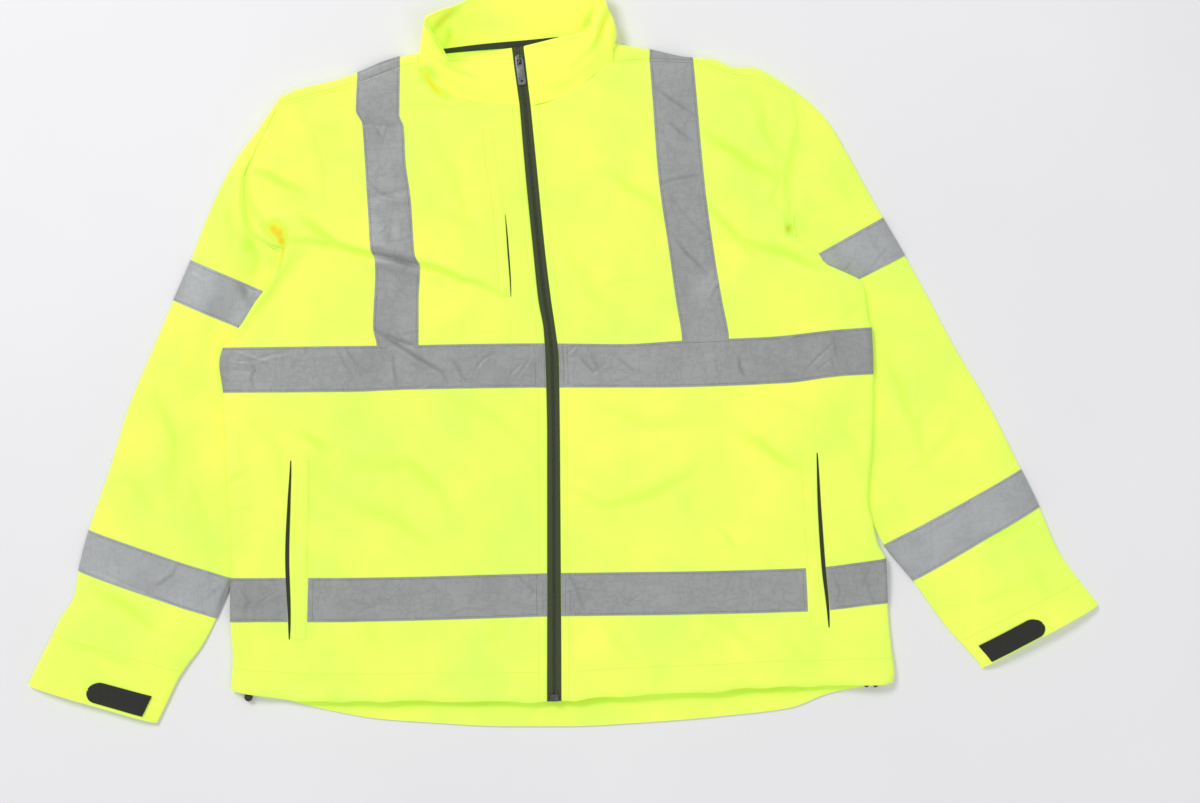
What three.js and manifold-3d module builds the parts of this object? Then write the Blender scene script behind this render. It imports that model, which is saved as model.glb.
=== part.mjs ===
// Hi-vis work jacket, laid flat on its back with the sleeves tucked under the body.
// X runs across the chest, Y from hem to collar, Z up from the surface it lies on. Sizes in mm.
import * as THREE from 'three'
import Module from 'manifold-3d'
import { mergeVertices } from 'three/addons/utils/BufferGeometryUtils.js'

// Cloth, tape and trim
const CLOTH = 1.3
const COLLAR_CLOTH = 2
const TAPE = 0.4
const TAPE_LIFT = 0.3
const SEAM = 0.4
const WELT = 1.1
const ZIP_TAPE = 1.1
const ZIP_RECESS = 0.4
const POCKET_OPENING = 5
const CHEST_WELT = 14
const CHEST_ZIP = 2.4
const CHEST_ZIP_SPAN = 20

// How the layers lie on each other
const FLOOR_GAP = 0.8
const AIR = 5
const BODY_STACK = 2 * CLOTH + AIR
const SLEEVE_FLAT = 3.4
const BODY_LIFT = 5.4
const LIFT_MARGIN = 12
const LIFT_FALL = 40
const SLEEVE_RISE = 9
const PRESS_MARGIN = 14
const PRESS_FALL = 45
const CHEST_PUFF = 7
const SHOULDER_RISE = 5.5
const SHOULDER_REACH = 150
const HEM_RISE = 6
const HEM_REACH = 80
const EDGE_ROLL = 2
const EDGE_FLAT = 8
const FOLD_ROLL = 8

// Lines across the jacket, as [distance from the middle, height up the jacket]
const HEM = [[-377, -377], [-361, -381], [-321, -386], [-287, -390], [-162, -389], [-20, -390],
  [65, -383], [156, -379], [224, -374], [338, -371], [375, -369]]
const BACK_HEM = [[-377, -379], [-342, -383], [-298, -394], [-259, -403], [-213, -411], [-162, -415],
  [-60, -420], [-3, -420], [116, -414], [184, -408], [258, -399], [304, -382], [340, -375], [375, -370]]
const WELT_LOW = [[-377, -322], [375, -305]]
const HEM_BAND_LOW = [[-377, -300], [-291, -300], [-18, -294], [276, -288], [369, -279]]
const HEM_BAND_HIGH = [[-376, -250], [-288, -250], [-18, -245], [276, -239], [367, -228]]
const WELT_HIGH = [[-377, -117], [375, -106]]
const CHEST_BAND_LOW = [[-387, -40], [-247, -39], [-162, -36], [-3, -34], [99, -34], [252, -29],
  [315, -21], [352, -19]]
const CHEST_BAND_HIGH = [[-387, 11], [-210, 13], [-22, 16], [65, 15], [138, 19], [235, 23], [309, 31],
  [350, 34]]
const FRONT_TOP = [[-325, 286], [-303, 293], [-264, 303], [-234, 311], [-185, 329], [-164, 333],
  [-153, 318], [-139, 304], [-121, 295], [-94, 288], [-49, 285], [-36, 285], [-3, 294], [31, 315],
  [49, 331], [58, 335], [99, 338], [148, 336], [170, 329], [196, 320], [215, 318], [262, 296]]
const OUTLINE_TOP = [[-325, 293], [-303, 304], [-264, 313], [-239, 321], [-191, 340], [-163, 345],
  [-139, 347], [-49, 353], [-2, 358], [42, 361], [58, 357], [101, 349], [145, 340], [170, 339],
  [196, 329], [215, 329], [247, 314], [262, 304]]

// Lines up the jacket, as [height up the jacket, distance from the middle]
const LEFT_SIDE = [[286, -321], [270, -331], [256, -341], [240, -351], [223, -357], [190, -361],
  [158, -359], [143, -353], [130, -335], [122, -320], [105, -326], [82, -335], [61, -350], [40, -363],
  [22, -376], [11, -385], [-7, -389], [-39, -385], [-94, -383], [-139, -381], [-207, -376], [-300, -377],
  [-338, -375], [-377, -377]]
const LEFT_SLIT = [[286, -285], [122, -298], [11, -308], [-116, -307], [-162, -309], [-230, -312],
  [-300, -310], [-377, -312]]
const LEFT_WELT = [[286, -258], [122, -278], [11, -286], [-116, -285], [-300, -290], [-377, -291]]
const LEFT_BRACE_OUT = [[311, -233], [279, -234], [264, -227], [236, -225], [173, -221], [122, -217],
  [108, -212], [34, -214], [13, -210], [-116, -209], [-378, -206]]
const LEFT_BRACE_IN = [[329, -184], [275, -185], [261, -180], [224, -178], [179, -172], [116, -167],
  [102, -161], [65, -163], [-378, -159]]
const LEFT_POCKET = [[289, -92], [264, -80], [213, -74], [179, -68], [122, -63], [73, -60], [-378, -58]]
const LEFT_ZIP = [[285, -49], [202, -42], [122, -34], [65, -28], [31, -22], [-3, -20], [-94, -18],
  [-391, -18]]
const RIGHT_ZIP = [[285, -36], [224, -30], [122, -20], [65, -13], [31, -8], [-3, -4], [-230, -2],
  [-391, -1]]
const RIGHT_BRACE_IN = [[338, 98], [287, 102], [258, 104], [207, 108], [122, 120], [65, 128], [19, 135],
  [-378, 145]]
const RIGHT_BRACE_OUT = [[336, 148], [281, 153], [227, 158], [179, 163], [122, 171], [65, 180],
  [22, 188], [-29, 190], [-378, 199]]
const RIGHT_WELT = [[296, 207], [143, 215], [22, 256], [-29, 262], [-105, 267], [-239, 276], [-307, 279],
  [-378, 281]]
const RIGHT_SLIT = [[296, 230], [143, 235], [22, 276], [-29, 282], [-114, 288], [-185, 292],
  [-241, 296], [-289, 301], [-378, 305]]
const RIGHT_SIDE = [[296, 257], [275, 261], [254, 264], [224, 259], [190, 257], [141, 255], [133, 265],
  [126, 281], [118, 290], [106, 299], [101, 310], [94, 326], [88, 337], [77, 342], [43, 347], [34, 350],
  [-19, 352], [-94, 351], [-139, 347], [-162, 346], [-185, 351], [-213, 358], [-228, 366], [-278, 369],
  [-332, 374], [-357, 377], [-370, 375]]

// Sleeves: outer edge x and y, inner edge x and y at each section, from the upper band to the cuff
const LEFT_SLEEVE = [
  [-423, 111, -230, 28], [-443, 65, -255, -15], [-469, 3, -286, -76], [-494, -57, -317, -133],
  [-515, -126, -348, -190], [-539, -196, -376, -252], [-551, -243, -395, -297], [-556, -272, -411, -328],
  [-571, -296, -426, -348], [-588, -330, -438, -366], [-597, -348, -449, -389], [-607, -369, -460, -412],
  [-609, -373, -462, -416]]
const RIGHT_SLEEVE = [
  [364, 159, 184, 59], [389, 116, 205, 20], [417, 65, 242, -28], [447, 9, 282, -80],
  [480, -46, 323, -130], [521, -127, 366, -213], [542, -170, 399, -254], [565, -222, 424, -289],
  [580, -244, 440, -310], [594, -262, 461, -333], [608, -280, 476, -351], [609, -282, 477, -353]]
const UPPER_BAND = [0, 1]
const LOWER_BAND = [5, 6]
// The sleeve head between the armhole seam and the upper band: outer edge at each section
const LEFT_HEAD = [[-347, 258], [-369, 229], [-385, 202], [-404, 161]]
const RIGHT_HEAD = [[283, 288], [303, 266], [325, 229], [346, 191]]
const LEFT_UNDERARM = [-262, 62]
const RIGHT_UNDERARM = [213, 86]
const CORNER_GAP = 2.4

// Free top edge of the collar, from the left of the zip round the neck to its right
const COLLAR_TOP = [
  [-58, 350.5, 13.5], [-76, 347, 14], [-97, 342.5, 16], [-114, 338, 20], [-126, 336, 27],
  [-136, 349.5, 35], [-146, 364, 39], [-154, 376.5, 38], [-142, 387, 33], [-119, 397, 24],
  [-96, 410.5, 14], [-75, 416.5, 8], [-43, 420, 5], [-12, 420, 5], [10.5, 420, 8], [26.5, 420, 15],
  [39, 419.5, 24], [44.5, 415, 31], [40, 401.5, 31], [34.5, 385.5, 26], [26.5, 370, 19], [-5, 362, 15],
  [-44, 352.5, 13.5]]
const COLLAR_ROWS = [0, 0.12, 0.35, 0.6, 0.82, 1]
const COLLAR_BULGE = 5
const COLLAR_BACK = [8, 16]
const NECK_TAPE = [8, 15]

// Largest folds: where each runs, its half width and its height, on the fronts and on the sleeves
const FOLDS = [
  { x0: -322, y0: 150, x1: -178, y1: 116, wide: 17, high: 5 },
  { x0: -205, y0: 122, x1: -66, y1: 84, wide: 15, high: 3.5 },
  { x0: -350, y0: 211, x1: -292, y1: 189, wide: 13, high: 4 },
  { x0: -338, y0: 172, x1: -300, y1: 112, wide: 14, high: 4.5 },
  { x0: -300, y0: 92, x1: -222, y1: 36, wide: 16, high: 3 },
  { x0: -268, y0: -86, x1: -176, y1: -132, wide: 18, high: 3 },
  { x0: -176, y0: -60, x1: -84, y1: -178, wide: 24, high: 2.5 },
  { x0: 206, y0: 284, x1: 250, y1: 196, wide: 15, high: 4 },
  { x0: 182, y0: 214, x1: 262, y1: 150, wide: 15, high: 4 },
  { x0: 200, y0: 128, x1: 318, y1: 70, wide: 17, high: 3.5 },
  { x0: 12, y0: -150, x1: 60, y1: -176, wide: 14, high: 3 },
  { x0: 66, y0: -172, x1: 170, y1: -92, wide: 20, high: 3 },
  { x0: 205, y0: -88, x1: 268, y1: -166, wide: 18, high: 3 },
  { x0: 60, y0: 240, x1: 34, y1: 60, wide: 30, high: 2.5 },
  { x0: -395, y0: 150, x1: -330, y1: 60, wide: 14, high: 2.5 },
  { x0: -520, y0: -90, x1: -400, y1: -150, wide: 20, high: 2.5 },
  { x0: -560, y0: -300, x1: -455, y1: -330, wide: 12, high: 2.5 },
  { x0: 390, y0: 90, x1: 372, y1: -30, wide: 18, high: 2.5 },
  { x0: 500, y0: -60, x1: 420, y1: -150, wide: 20, high: 2.5 },
  { x0: 560, y0: -232, x1: 470, y1: -262, wide: 14, high: 3 }]

// Cord locks at the two ends of the hem, and the cuff tabs
const LEFT_LOCK = { x: -357.5, y: -386.3, ball: 4.9, barrel: 2.6, reach: 14 }
const RIGHT_LOCK = { x: 350.5, y: -372, apart: 10, barrel: 3.6, reach: 13, tip: 3.1 }
const LOCK_RISE = 6
const LOCK_SPREAD = 34
const CUFF_TAB = { thick: 1.5, round: 11, lift: 0.5 }
const CUFF_TAB_COLUMNS = [0, 0.2, 0.5, 1, 1.5, 2, 2.5, 3, 3.5, 4]
const LEFT_CUFF = { rows: [10, 11], last: 3.9 }
const RIGHT_CUFF = { rows: [9, 10], last: 4.15 }

// Zip slider, pull tab and bottom box
const SLIDER = { up: 336, wide: 8.4, long: 10.5, thick: 2.2, archWide: 1.9, archHigh: 3.6, archThick: 0.9 }
const PULL = { wide: 9, long: 30, thick: 1.3, pin: 0.65, pinGap: 1.1, slot: 7.2, bar: 1.9, grip: 11,
  gripThick: 2.4, eye: 1.5 }
const ZIP_BOX = { wide: 9.4, long: 8, thick: 2.2, pin: 1.5, pinLong: 9 }

const mix = (a, b, t) => a + (b - a) * t
const smooth = (t) => {
  const c = Math.min(Math.max(t, 0), 1)
  return c * c * (3 - 2 * c)
}

// A line through a table of points that never swings past them
function through(table) {
  const rows = [...table].sort((a, b) => a[0] - b[0])
  const last = rows.length - 1
  const slope = rows.slice(1).map((row, k) => (row[1] - rows[k][1]) / (row[0] - rows[k][0]))
  const tangent = rows.map((row, k) => {
    if (k === 0 || k === last) return slope[Math.min(k, last - 1)]
    const [before, after] = [slope[k - 1], slope[k]]
    return before * after <= 0 ? 0 : 2 * before * after / (before + after)
  })
  return (at) => {
    if (at <= rows[0][0]) return rows[0][1]
    if (at >= rows[last][0]) return rows[last][1]
    const k = rows.findIndex((row) => row[0] > at) - 1
    const step = rows[k + 1][0] - rows[k][0]
    const t = (at - rows[k][0]) / step
    const square = t * t
    const cube = square * t
    return (2 * cube - 3 * square + 1) * rows[k][1] + (cube - 2 * square + t) * step * tangent[k]
      + (3 * square - 2 * cube) * rows[k + 1][1] + (cube - square) * step * tangent[k + 1]
  }
}
const between = (f, g, t) => (at) => mix(f(at), g(at), t)
const moved = (f, by) => (at) => f(at) + by

// Where a line up the jacket meets a line across it
function meet(up, across) {
  let x = up(0)
  let y = across(x)
  for (let turn = 0; turn < 60; turn += 1) {
    x = mix(x, up(y), 0.6)
    y = across(x)
  }
  return [x, y]
}

// Distance from a point to an outline, positive inside it
function insideBy(outline, x, y) {
  let nearest = Infinity
  let inside = false
  outline.forEach(([bx, by], k) => {
    const [ax, ay] = outline[(k + outline.length - 1) % outline.length]
    const [dx, dy] = [bx - ax, by - ay]
    const t = Math.min(Math.max(((x - ax) * dx + (y - ay) * dy) / (dx * dx + dy * dy), 0), 1)
    nearest = Math.min(nearest, Math.hypot(x - ax - t * dx, y - ay - t * dy))
    if (ay > y !== by > y && x < (dx * (y - ay)) / dy + ax) inside = !inside
  })
  return inside ? nearest : -nearest
}

// A grid of points with their outward directions; around says that its columns close into a ring
function makeGrid(columns, rows, place, around = false) {
  const points = []
  for (let j = 0; j < rows; j += 1) {
    for (let i = 0; i < columns; i += 1) points.push(place(i, j))
  }
  const at = (i, j) => points[j * columns + (i % columns)]
  return { columns, rows, around, at }
}

// A point and its direction between the lines of a grid
function sample(grid, u, v) {
  const i = Math.min(Math.floor(u), grid.around ? grid.columns - 1 : grid.columns - 2)
  const j = Math.min(Math.floor(v), grid.rows - 2)
  const [a, b] = [grid.at(i, j), grid.at(i + 1, j)]
  const [c, d] = [grid.at(i, j + 1), grid.at(i + 1, j + 1)]
  const pick = (key) => a[key].clone().lerp(b[key], u - i)
    .lerp(c[key].clone().lerp(d[key], u - i), v - j)
  return { point: pick('point'), out: pick('out').normalize() }
}

// A closed wall on a grid, from the inner to the outer distance off its points
function wall(grid, outer, inner, has = () => true) {
  const { columns, rows, around } = grid
  const cells = around ? columns : columns - 1
  const present = (i, j) => {
    const column = around ? (i + columns) % columns : i
    return column >= 0 && column < cells && j >= 0 && j < rows - 1 && has(column, j)
  }
  const position = []
  const index = []
  const numbers = new Map()
  const corner = (i, j, off) => {
    const key = `${i % columns} ${j} ${off}`
    if (!numbers.has(key)) {
      numbers.set(key, position.length / 3)
      const { point, out } = grid.at(i, j)
      position.push(...point.clone().addScaledVector(out, off).toArray())
    }
    return numbers.get(key)
  }
  const quad = (a, b, c, d) => index.push(a, b, c, a, c, d)
  for (let j = 0; j < rows - 1; j += 1) {
    for (let i = 0; i < cells; i += 1) {
      if (!present(i, j)) continue
      const ring = [[i, j], [i + 1, j], [i + 1, j + 1], [i, j + 1]]
      const [a, b, c, d] = ring.map(([p, q]) => corner(p, q, outer))
      const [e, f, g, h] = ring.map(([p, q]) => corner(p, q, inner))
      quad(a, b, c, d)
      index.push(e, g, f, e, h, g)
      if (!present(i, j - 1)) quad(b, a, e, f)
      if (!present(i + 1, j)) quad(c, b, f, g)
      if (!present(i, j + 1)) quad(d, c, g, h)
      if (!present(i - 1, j)) quad(a, d, h, e)
    }
  }
  return outward(position, index)
}

// The geometry of a closed surface with its faces turned outwards
function outward(position, index) {
  const at = (k) => new THREE.Vector3().fromArray(position, 3 * k)
  let volume = 0
  for (let k = 0; k < index.length; k += 3) {
    volume += at(index[k]).dot(at(index[k + 1]).cross(at(index[k + 2])))
  }
  if (volume < 0) {
    for (let k = 0; k < index.length; k += 3) {
      [index[k], index[k + 1]] = [index[k + 1], index[k]]
    }
  }
  const geometry = new THREE.BufferGeometry()
  geometry.setAttribute('position', new THREE.Float32BufferAttribute(position, 3))
  geometry.setIndex(index)
  return geometry
}

// A strip laid on the cells of a grid, drawn in by the seam gap on the sides that are named
function strip(grid, [firstColumn, lastColumn], [firstRow, lastRow], drawn) {
  const span = (from, to, step) => new THREE.Vector3()
    .subVectors(grid.at(...to).point, grid.at(...from).point).length() || step
  return makeGrid(lastColumn - firstColumn + 1, lastRow - firstRow + 1, (i, j) => {
    const column = firstColumn + i
    const row = firstRow + j
    let [u, v] = [column, row]
    if (drawn.includes('first') && i === 0) u += SEAM / span([column, row], [column + 1, row])
    if (drawn.includes('last') && column === lastColumn) u -= SEAM / span([column - 1, row], [column, row])
    if (drawn.includes('low') && j === 0) v += SEAM / span([column, row], [column, row + 1])
    if (drawn.includes('high') && row === lastRow) v -= SEAM / span([column, row - 1], [column, row])
    return sample(grid, u, v)
  }, grid.around && lastColumn - firstColumn + 1 === grid.columns)
}

const jacket = new THREE.Group()
function add(name, geometry, material) {
  const mesh = new THREE.Mesh(geometry, material)
  mesh.name = name
  jacket.add(mesh)
  return mesh
}
const finish = (color, roughness, metalness = 0) => new THREE.MeshStandardMaterial({
  color, roughness, metalness })
const HI_VIS = () => finish(0xe6ff55, 0.85)
const REFLECTIVE = () => finish(0xa6aaa8, 0.45, 0.2)
const ZIP_CLOTH = () => finish(0x3f4a30, 0.8)
const BLACK = () => finish(0x2a2c26, 0.75)
const METAL = () => finish(0x8e9092, 0.35, 0.9)
const PLASTIC = () => finish(0x2b2f2c, 0.45)

// The lines of the body, shared by the fronts and the back
const line = {}
Object.entries({ HEM, BACK_HEM, WELT_LOW, HEM_BAND_LOW, HEM_BAND_HIGH, WELT_HIGH, CHEST_BAND_LOW,
  CHEST_BAND_HIGH, FRONT_TOP, OUTLINE_TOP, LEFT_SIDE, LEFT_SLIT, LEFT_WELT, LEFT_BRACE_OUT,
  LEFT_BRACE_IN, LEFT_POCKET, LEFT_ZIP, RIGHT_ZIP, RIGHT_BRACE_IN, RIGHT_BRACE_OUT, RIGHT_WELT,
  RIGHT_SLIT, RIGHT_SIDE }).forEach(([name, table]) => { line[name] = through(table) })

// Columns of the fronts, from the side to the zip and from the zip to the side
const leftUp = [
  line.LEFT_SIDE, moved(line.LEFT_SIDE, EDGE_ROLL), moved(line.LEFT_SIDE, EDGE_FLAT),
  between(line.LEFT_SIDE, line.LEFT_SLIT, 0.55), moved(line.LEFT_SLIT, -POCKET_OPENING / 2),
  moved(line.LEFT_SLIT, POCKET_OPENING / 2), line.LEFT_WELT,
  between(line.LEFT_WELT, line.LEFT_BRACE_OUT, 0.5), line.LEFT_BRACE_OUT, line.LEFT_BRACE_IN,
  ...[0.23, 0.45, 0.68].map((t) => between(line.LEFT_BRACE_IN, line.LEFT_POCKET, t)),
  moved(line.LEFT_POCKET, -CHEST_WELT),
  line.LEFT_POCKET, between(line.LEFT_POCKET, line.LEFT_ZIP, 0.5), line.LEFT_ZIP]
const rightUp = [
  line.RIGHT_ZIP, ...[0.25, 0.42, 0.57, 0.7, 0.85]
    .map((t) => between(line.RIGHT_ZIP, line.RIGHT_BRACE_IN, t)),
  line.RIGHT_BRACE_IN, line.RIGHT_BRACE_OUT, between(line.RIGHT_BRACE_OUT, line.RIGHT_WELT, 0.5),
  line.RIGHT_WELT, moved(line.RIGHT_SLIT, -POCKET_OPENING / 2), moved(line.RIGHT_SLIT, POCKET_OPENING / 2),
  between(line.RIGHT_SLIT, line.RIGHT_SIDE, 0.45), moved(line.RIGHT_SIDE, -EDGE_FLAT),
  moved(line.RIGHT_SIDE, -EDGE_ROLL), line.RIGHT_SIDE]
const LEFT = { brace: [8, 9], neck: 10, chestWelt: 13, pocket: 14, zip: 16, slit: 4, slitIn: 5, welt: 6 }
const RIGHT = { zip: 0, neck: 4, brace: [6, 7], welt: 9, slitIn: 10, slit: 11, side: 15 }
const STEPS_TO_TOP = [0.1, 0.2, 0.3, 0.4, 0.49, 0.58, 0.68, 0.79, 0.9, 1]
const ROW = { weltLow: 3, bandLow: 4, bandHigh: 6, weltHigh: 10, chestLow: 12, chestHigh: 13, top: 23 }
const rowsAcross = (hem, top) => [
  hem, moved(hem, 12), between(hem, line.WELT_LOW, 0.6), line.WELT_LOW, line.HEM_BAND_LOW,
  between(line.HEM_BAND_LOW, line.HEM_BAND_HIGH, 0.5), line.HEM_BAND_HIGH,
  ...[0.25, 0.5, 0.75].map((t) => between(line.HEM_BAND_HIGH, line.WELT_HIGH, t)),
  line.WELT_HIGH, between(line.WELT_HIGH, line.CHEST_BAND_LOW, 0.5), line.CHEST_BAND_LOW,
  line.CHEST_BAND_HIGH, ...STEPS_TO_TOP.map((t) => between(line.CHEST_BAND_HIGH, top, t))]
const frontAcross = rowsAcross(line.HEM, line.FRONT_TOP)
const ARM_ROW = ROW.chestHigh + 5

// How high the body lies: it rides over the tucked sleeves, and puffs up where nothing presses it
const leftArm = meet(line.LEFT_SIDE, frontAcross[ARM_ROW - 1])
const rightArm = meet(line.RIGHT_SIDE, frontAcross[ARM_ROW - 1])
const tucked = (arm, underarm, sections) => [
  arm, underarm, ...sections.map((row) => row.slice(2)),
  ...sections.map((row) => row.slice(0, 2)).reverse().filter(([, y]) => y < arm[1] - LIFT_FALL)]
const leftTuck = tucked(leftArm, LEFT_UNDERARM, LEFT_SLEEVE)
const rightTuck = tucked(rightArm, RIGHT_UNDERARM, RIGHT_SLEEVE)
const cover = (tuck, x, y) => smooth(1 + (insideBy(tuck, x, y) + LIFT_MARGIN) / LIFT_FALL)
const backHeight = (x, y) => FLOOR_GAP
  + BODY_LIFT * Math.max(cover(leftTuck, x, y), cover(rightTuck, x, y))

function foldHeight(x, y) {
  return FOLDS.reduce((sum, { x0, y0, x1, y1, wide, high }) => {
    const [dx, dy] = [x1 - x0, y1 - y0]
    const t = ((x - x0) * dx + (y - y0) * dy) / (dx * dx + dy * dy)
    const across = ((x - x0) * dy - (y - y0) * dx) / Math.hypot(dx, dy)
    const along = smooth((t + 0.15) / 0.4) * smooth((1.15 - t) / 0.4)
    return sum + high * along * Math.exp(-((across / wide) ** 2))
  }, 0)
}
function puff(x, y) {
  const left = x < line.LEFT_ZIP(y)
  const side = left ? line.LEFT_SIDE(y) : line.RIGHT_SIDE(y)
  const zip = left ? line.LEFT_ZIP(y) : line.RIGHT_ZIP(y)
  const u = Math.min(Math.max((x - side) / (zip - side), 0), 1)
  const v = Math.min(Math.max((y - line.HEM(x)) / (line.FRONT_TOP(x) - line.HEM(x)), 0), 1)
  return CHEST_PUFF * Math.sin(Math.PI * u) ** 0.8 * Math.sin(Math.PI * v) ** 0.5
}
function frontHeight(x, y) {
  const shoulder = SHOULDER_RISE * smooth(1 + (y - line.FRONT_TOP(x)) / SHOULDER_REACH)
  const middle = smooth((350 - Math.abs(x + 8)) / 160)
  const hem = HEM_RISE * middle * smooth(1 - (y - line.HEM(x)) / HEM_REACH)
  const lockRise = (at) => LOCK_RISE * Math.exp(-(((x - at.x) ** 2 + (y - at.y) ** 2) / LOCK_SPREAD ** 2))
  const lock = Math.max(lockRise(LEFT_LOCK), lockRise(RIGHT_LOCK))
  return backHeight(x, y) + BODY_STACK + puff(x, y) + shoulder + hem + lock + foldHeight(x, y)
}

// The two fronts: their side edge rolls down to the side seam below the armhole
const UP = new THREE.Vector3(0, 0, 1)
const DOWN = new THREE.Vector3(0, 0, -1)
const BACKWARDS = new THREE.Vector3(0, 1, 0)
const OVER = new THREE.Vector3(0, 0.4, 0.9).normalize()
function sideRoll(step, sign, x, y, face) {
  const [back, front] = [backHeight(x, y), frontHeight(x, y)]
  const middle = (back + front) / 2
  const outwards = new THREE.Vector3(sign, 0, 0)
  const facing = face > 0 ? UP : DOWN
  const flat = face > 0 ? front : back
  const height = [middle + face * SEAM / 2, mix(flat, middle, 0.25), flat][step]
  const out = [outwards, outwards.clone().add(facing).normalize(), facing][step]
  return { point: new THREE.Vector3(x, y, height), out }
}
function frontGrid(ups, sign) {
  const side = sign < 0 ? 0 : ups.length - 1
  return makeGrid(ups.length, frontAcross.length, (i, j) => {
    const [x, y] = meet(ups[i], frontAcross[j])
    const step = Math.min(Math.abs(i - side), 2)
    if (j < ARM_ROW && step < 2) return sideRoll(step, sign, x, y, 1)
    return { point: new THREE.Vector3(x, y, frontHeight(x, y)), out: UP }
  })
}
const leftFront = frontGrid(leftUp, -1)
const rightFront = frontGrid(rightUp, 1)
add('front_left', wall(leftFront, 0, -CLOTH), HI_VIS())
add('front_right', wall(rightFront, 0, -CLOTH), HI_VIS())

// The back runs under both fronts, and its grid goes on forward over the shoulders to the front seam
const middleUp = between(line.LEFT_ZIP, line.RIGHT_ZIP, 0.5)
const backUp = [...leftUp.slice(0, -1), middleUp, ...rightUp.slice(1)]
const BACK_MIDDLE = leftUp.length - 1
const backTop = moved(line.OUTLINE_TOP, -FOLD_ROLL)
const backAcross = [...rowsAcross(line.BACK_HEM, backTop), line.OUTLINE_TOP]
const FOLD_ROW = backAcross.length - 1
const OVER_ROW = FOLD_ROW + 1
const FRONT_SEAM_ROW = FOLD_ROW + 2
const LEFT_NECK = LEFT.neck
const RIGHT_NECK = BACK_MIDDLE + RIGHT.neck
const backRight = (column) => BACK_MIDDLE + column
const shoulderTop = (x) => frontHeight(x, line.FRONT_TOP(x))
const back = makeGrid(backUp.length, FRONT_SEAM_ROW + 1, (i, j) => {
  const left = i < BACK_MIDDLE
  const side = left ? 0 : backUp.length - 1
  const neck = i > LEFT_NECK && i < RIGHT_NECK
  const frontColumn = left ? i : i - BACK_MIDDLE
  const front = left ? leftFront : rightFront
  const [x, y] = meet(backUp[i], backAcross[Math.min(j, FOLD_ROW)])
  if (j >= FOLD_ROW && !neck) {
    const seam = front.at(frontColumn, ROW.top).point
    const top = shoulderTop(seam.x)
    const middle = (top + FLOOR_GAP) / 2
    if (j === FOLD_ROW) return { point: new THREE.Vector3(x, y, middle), out: BACKWARDS }
    if (j === OVER_ROW) return { point: new THREE.Vector3(x, mix(y, seam.y, 0.45), top), out: OVER }
    return { point: seam.clone().add(new THREE.Vector3(0, SEAM, 0)), out: UP }
  }
  const step = Math.min(Math.abs(i - side), 2)
  if (j < ARM_ROW && step < 2) return sideRoll(step, left ? -1 : 1, x, y, -1)
  return { point: new THREE.Vector3(x, y, backHeight(x, y)), out: DOWN }
})
const YOKE_ROW = FOLD_ROW - 1
const belowYokes = (i, j) => j < YOKE_ROW || (j < FOLD_ROW && i >= LEFT_NECK && i < RIGHT_NECK)
add('back', wall(back, 0, -CLOTH, belowYokes), HI_VIS())

// The yokes fold forward over the shoulders, from a seam just behind the fold
const yokeRows = [YOKE_ROW, FRONT_SEAM_ROW]
add('yoke_left', wall(strip(back, [0, LEFT_NECK], yokeRows, ['last', 'low']), 0, -CLOTH), HI_VIS())
add('yoke_right', wall(strip(back, [RIGHT_NECK, back.columns - 1], yokeRows, ['first', 'low']),
  0, -CLOTH), HI_VIS())

// Reflective bands round the body and braces over the shoulders
const tape = (name, grid) => add(name, wall(grid, TAPE_LIFT + TAPE, TAPE_LIFT), REFLECTIVE())
const chestRows = [ROW.chestLow, ROW.chestHigh]
const hemRows = [ROW.bandLow, ROW.bandHigh]
tape('chest_band_left', strip(leftFront, [0, LEFT.zip], chestRows, ['last']))
tape('chest_band_right', strip(rightFront, [0, RIGHT.side], chestRows, ['first']))
tape('chest_band_back', strip(back, [0, back.columns - 1], chestRows, []))
tape('hem_band_side_left', strip(leftFront, [0, LEFT.slit], hemRows, ['last']))
tape('hem_band_left', strip(leftFront, [LEFT.welt, LEFT.zip], hemRows, ['first', 'last']))
tape('hem_band_right', strip(rightFront, [0, RIGHT.welt], hemRows, ['first', 'last']))
tape('hem_band_side_right', strip(rightFront, [RIGHT.slit, RIGHT.side], hemRows, ['first']))
tape('hem_band_back', strip(back, [0, back.columns - 1], hemRows, []))
const braceRows = [ROW.chestHigh, ROW.top]
tape('brace_left', strip(leftFront, LEFT.brace, braceRows, ['low', 'high']))
tape('brace_right', strip(rightFront, RIGHT.brace, braceRows, ['low', 'high']))
const backBraceRows = [ROW.chestHigh, FRONT_SEAM_ROW]
tape('brace_back_left', strip(back, LEFT.brace, backBraceRows, ['low', 'high']))
tape('brace_back_right', strip(back, RIGHT.brace.map(backRight), backBraceRows, ['low', 'high']))

// Hand pockets and the chest pocket: a dark opening beside a raised welt
const weltRows = [ROW.weltLow, ROW.weltHigh]
const raised = (grid, thick) => wall(grid, TAPE_LIFT + thick, TAPE_LIFT)
const patch = (grid, columns, rows) => strip(grid, columns, rows, ['first', 'last', 'low', 'high'])
add('pocket_welt_left', raised(patch(leftFront, [LEFT.slitIn, LEFT.welt], weltRows), WELT), HI_VIS())
add('pocket_welt_right', raised(patch(rightFront, [RIGHT.welt, RIGHT.slitIn], weltRows), WELT), HI_VIS())
add('pocket_zip_left', raised(patch(leftFront, [LEFT.slit, LEFT.slitIn], weltRows), TAPE), BLACK())
add('pocket_zip_right', raised(patch(rightFront, [RIGHT.slitIn, RIGHT.slit], weltRows), TAPE), BLACK())
const chestWeltRows = [ROW.chestHigh + 2, ROW.top - 1]
const chestZipRows = [ROW.chestHigh + 2, ROW.chestHigh + 5]
add('chest_pocket_welt',
  raised(patch(leftFront, [LEFT.chestWelt, LEFT.pocket], chestWeltRows), WELT), HI_VIS())
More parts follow.
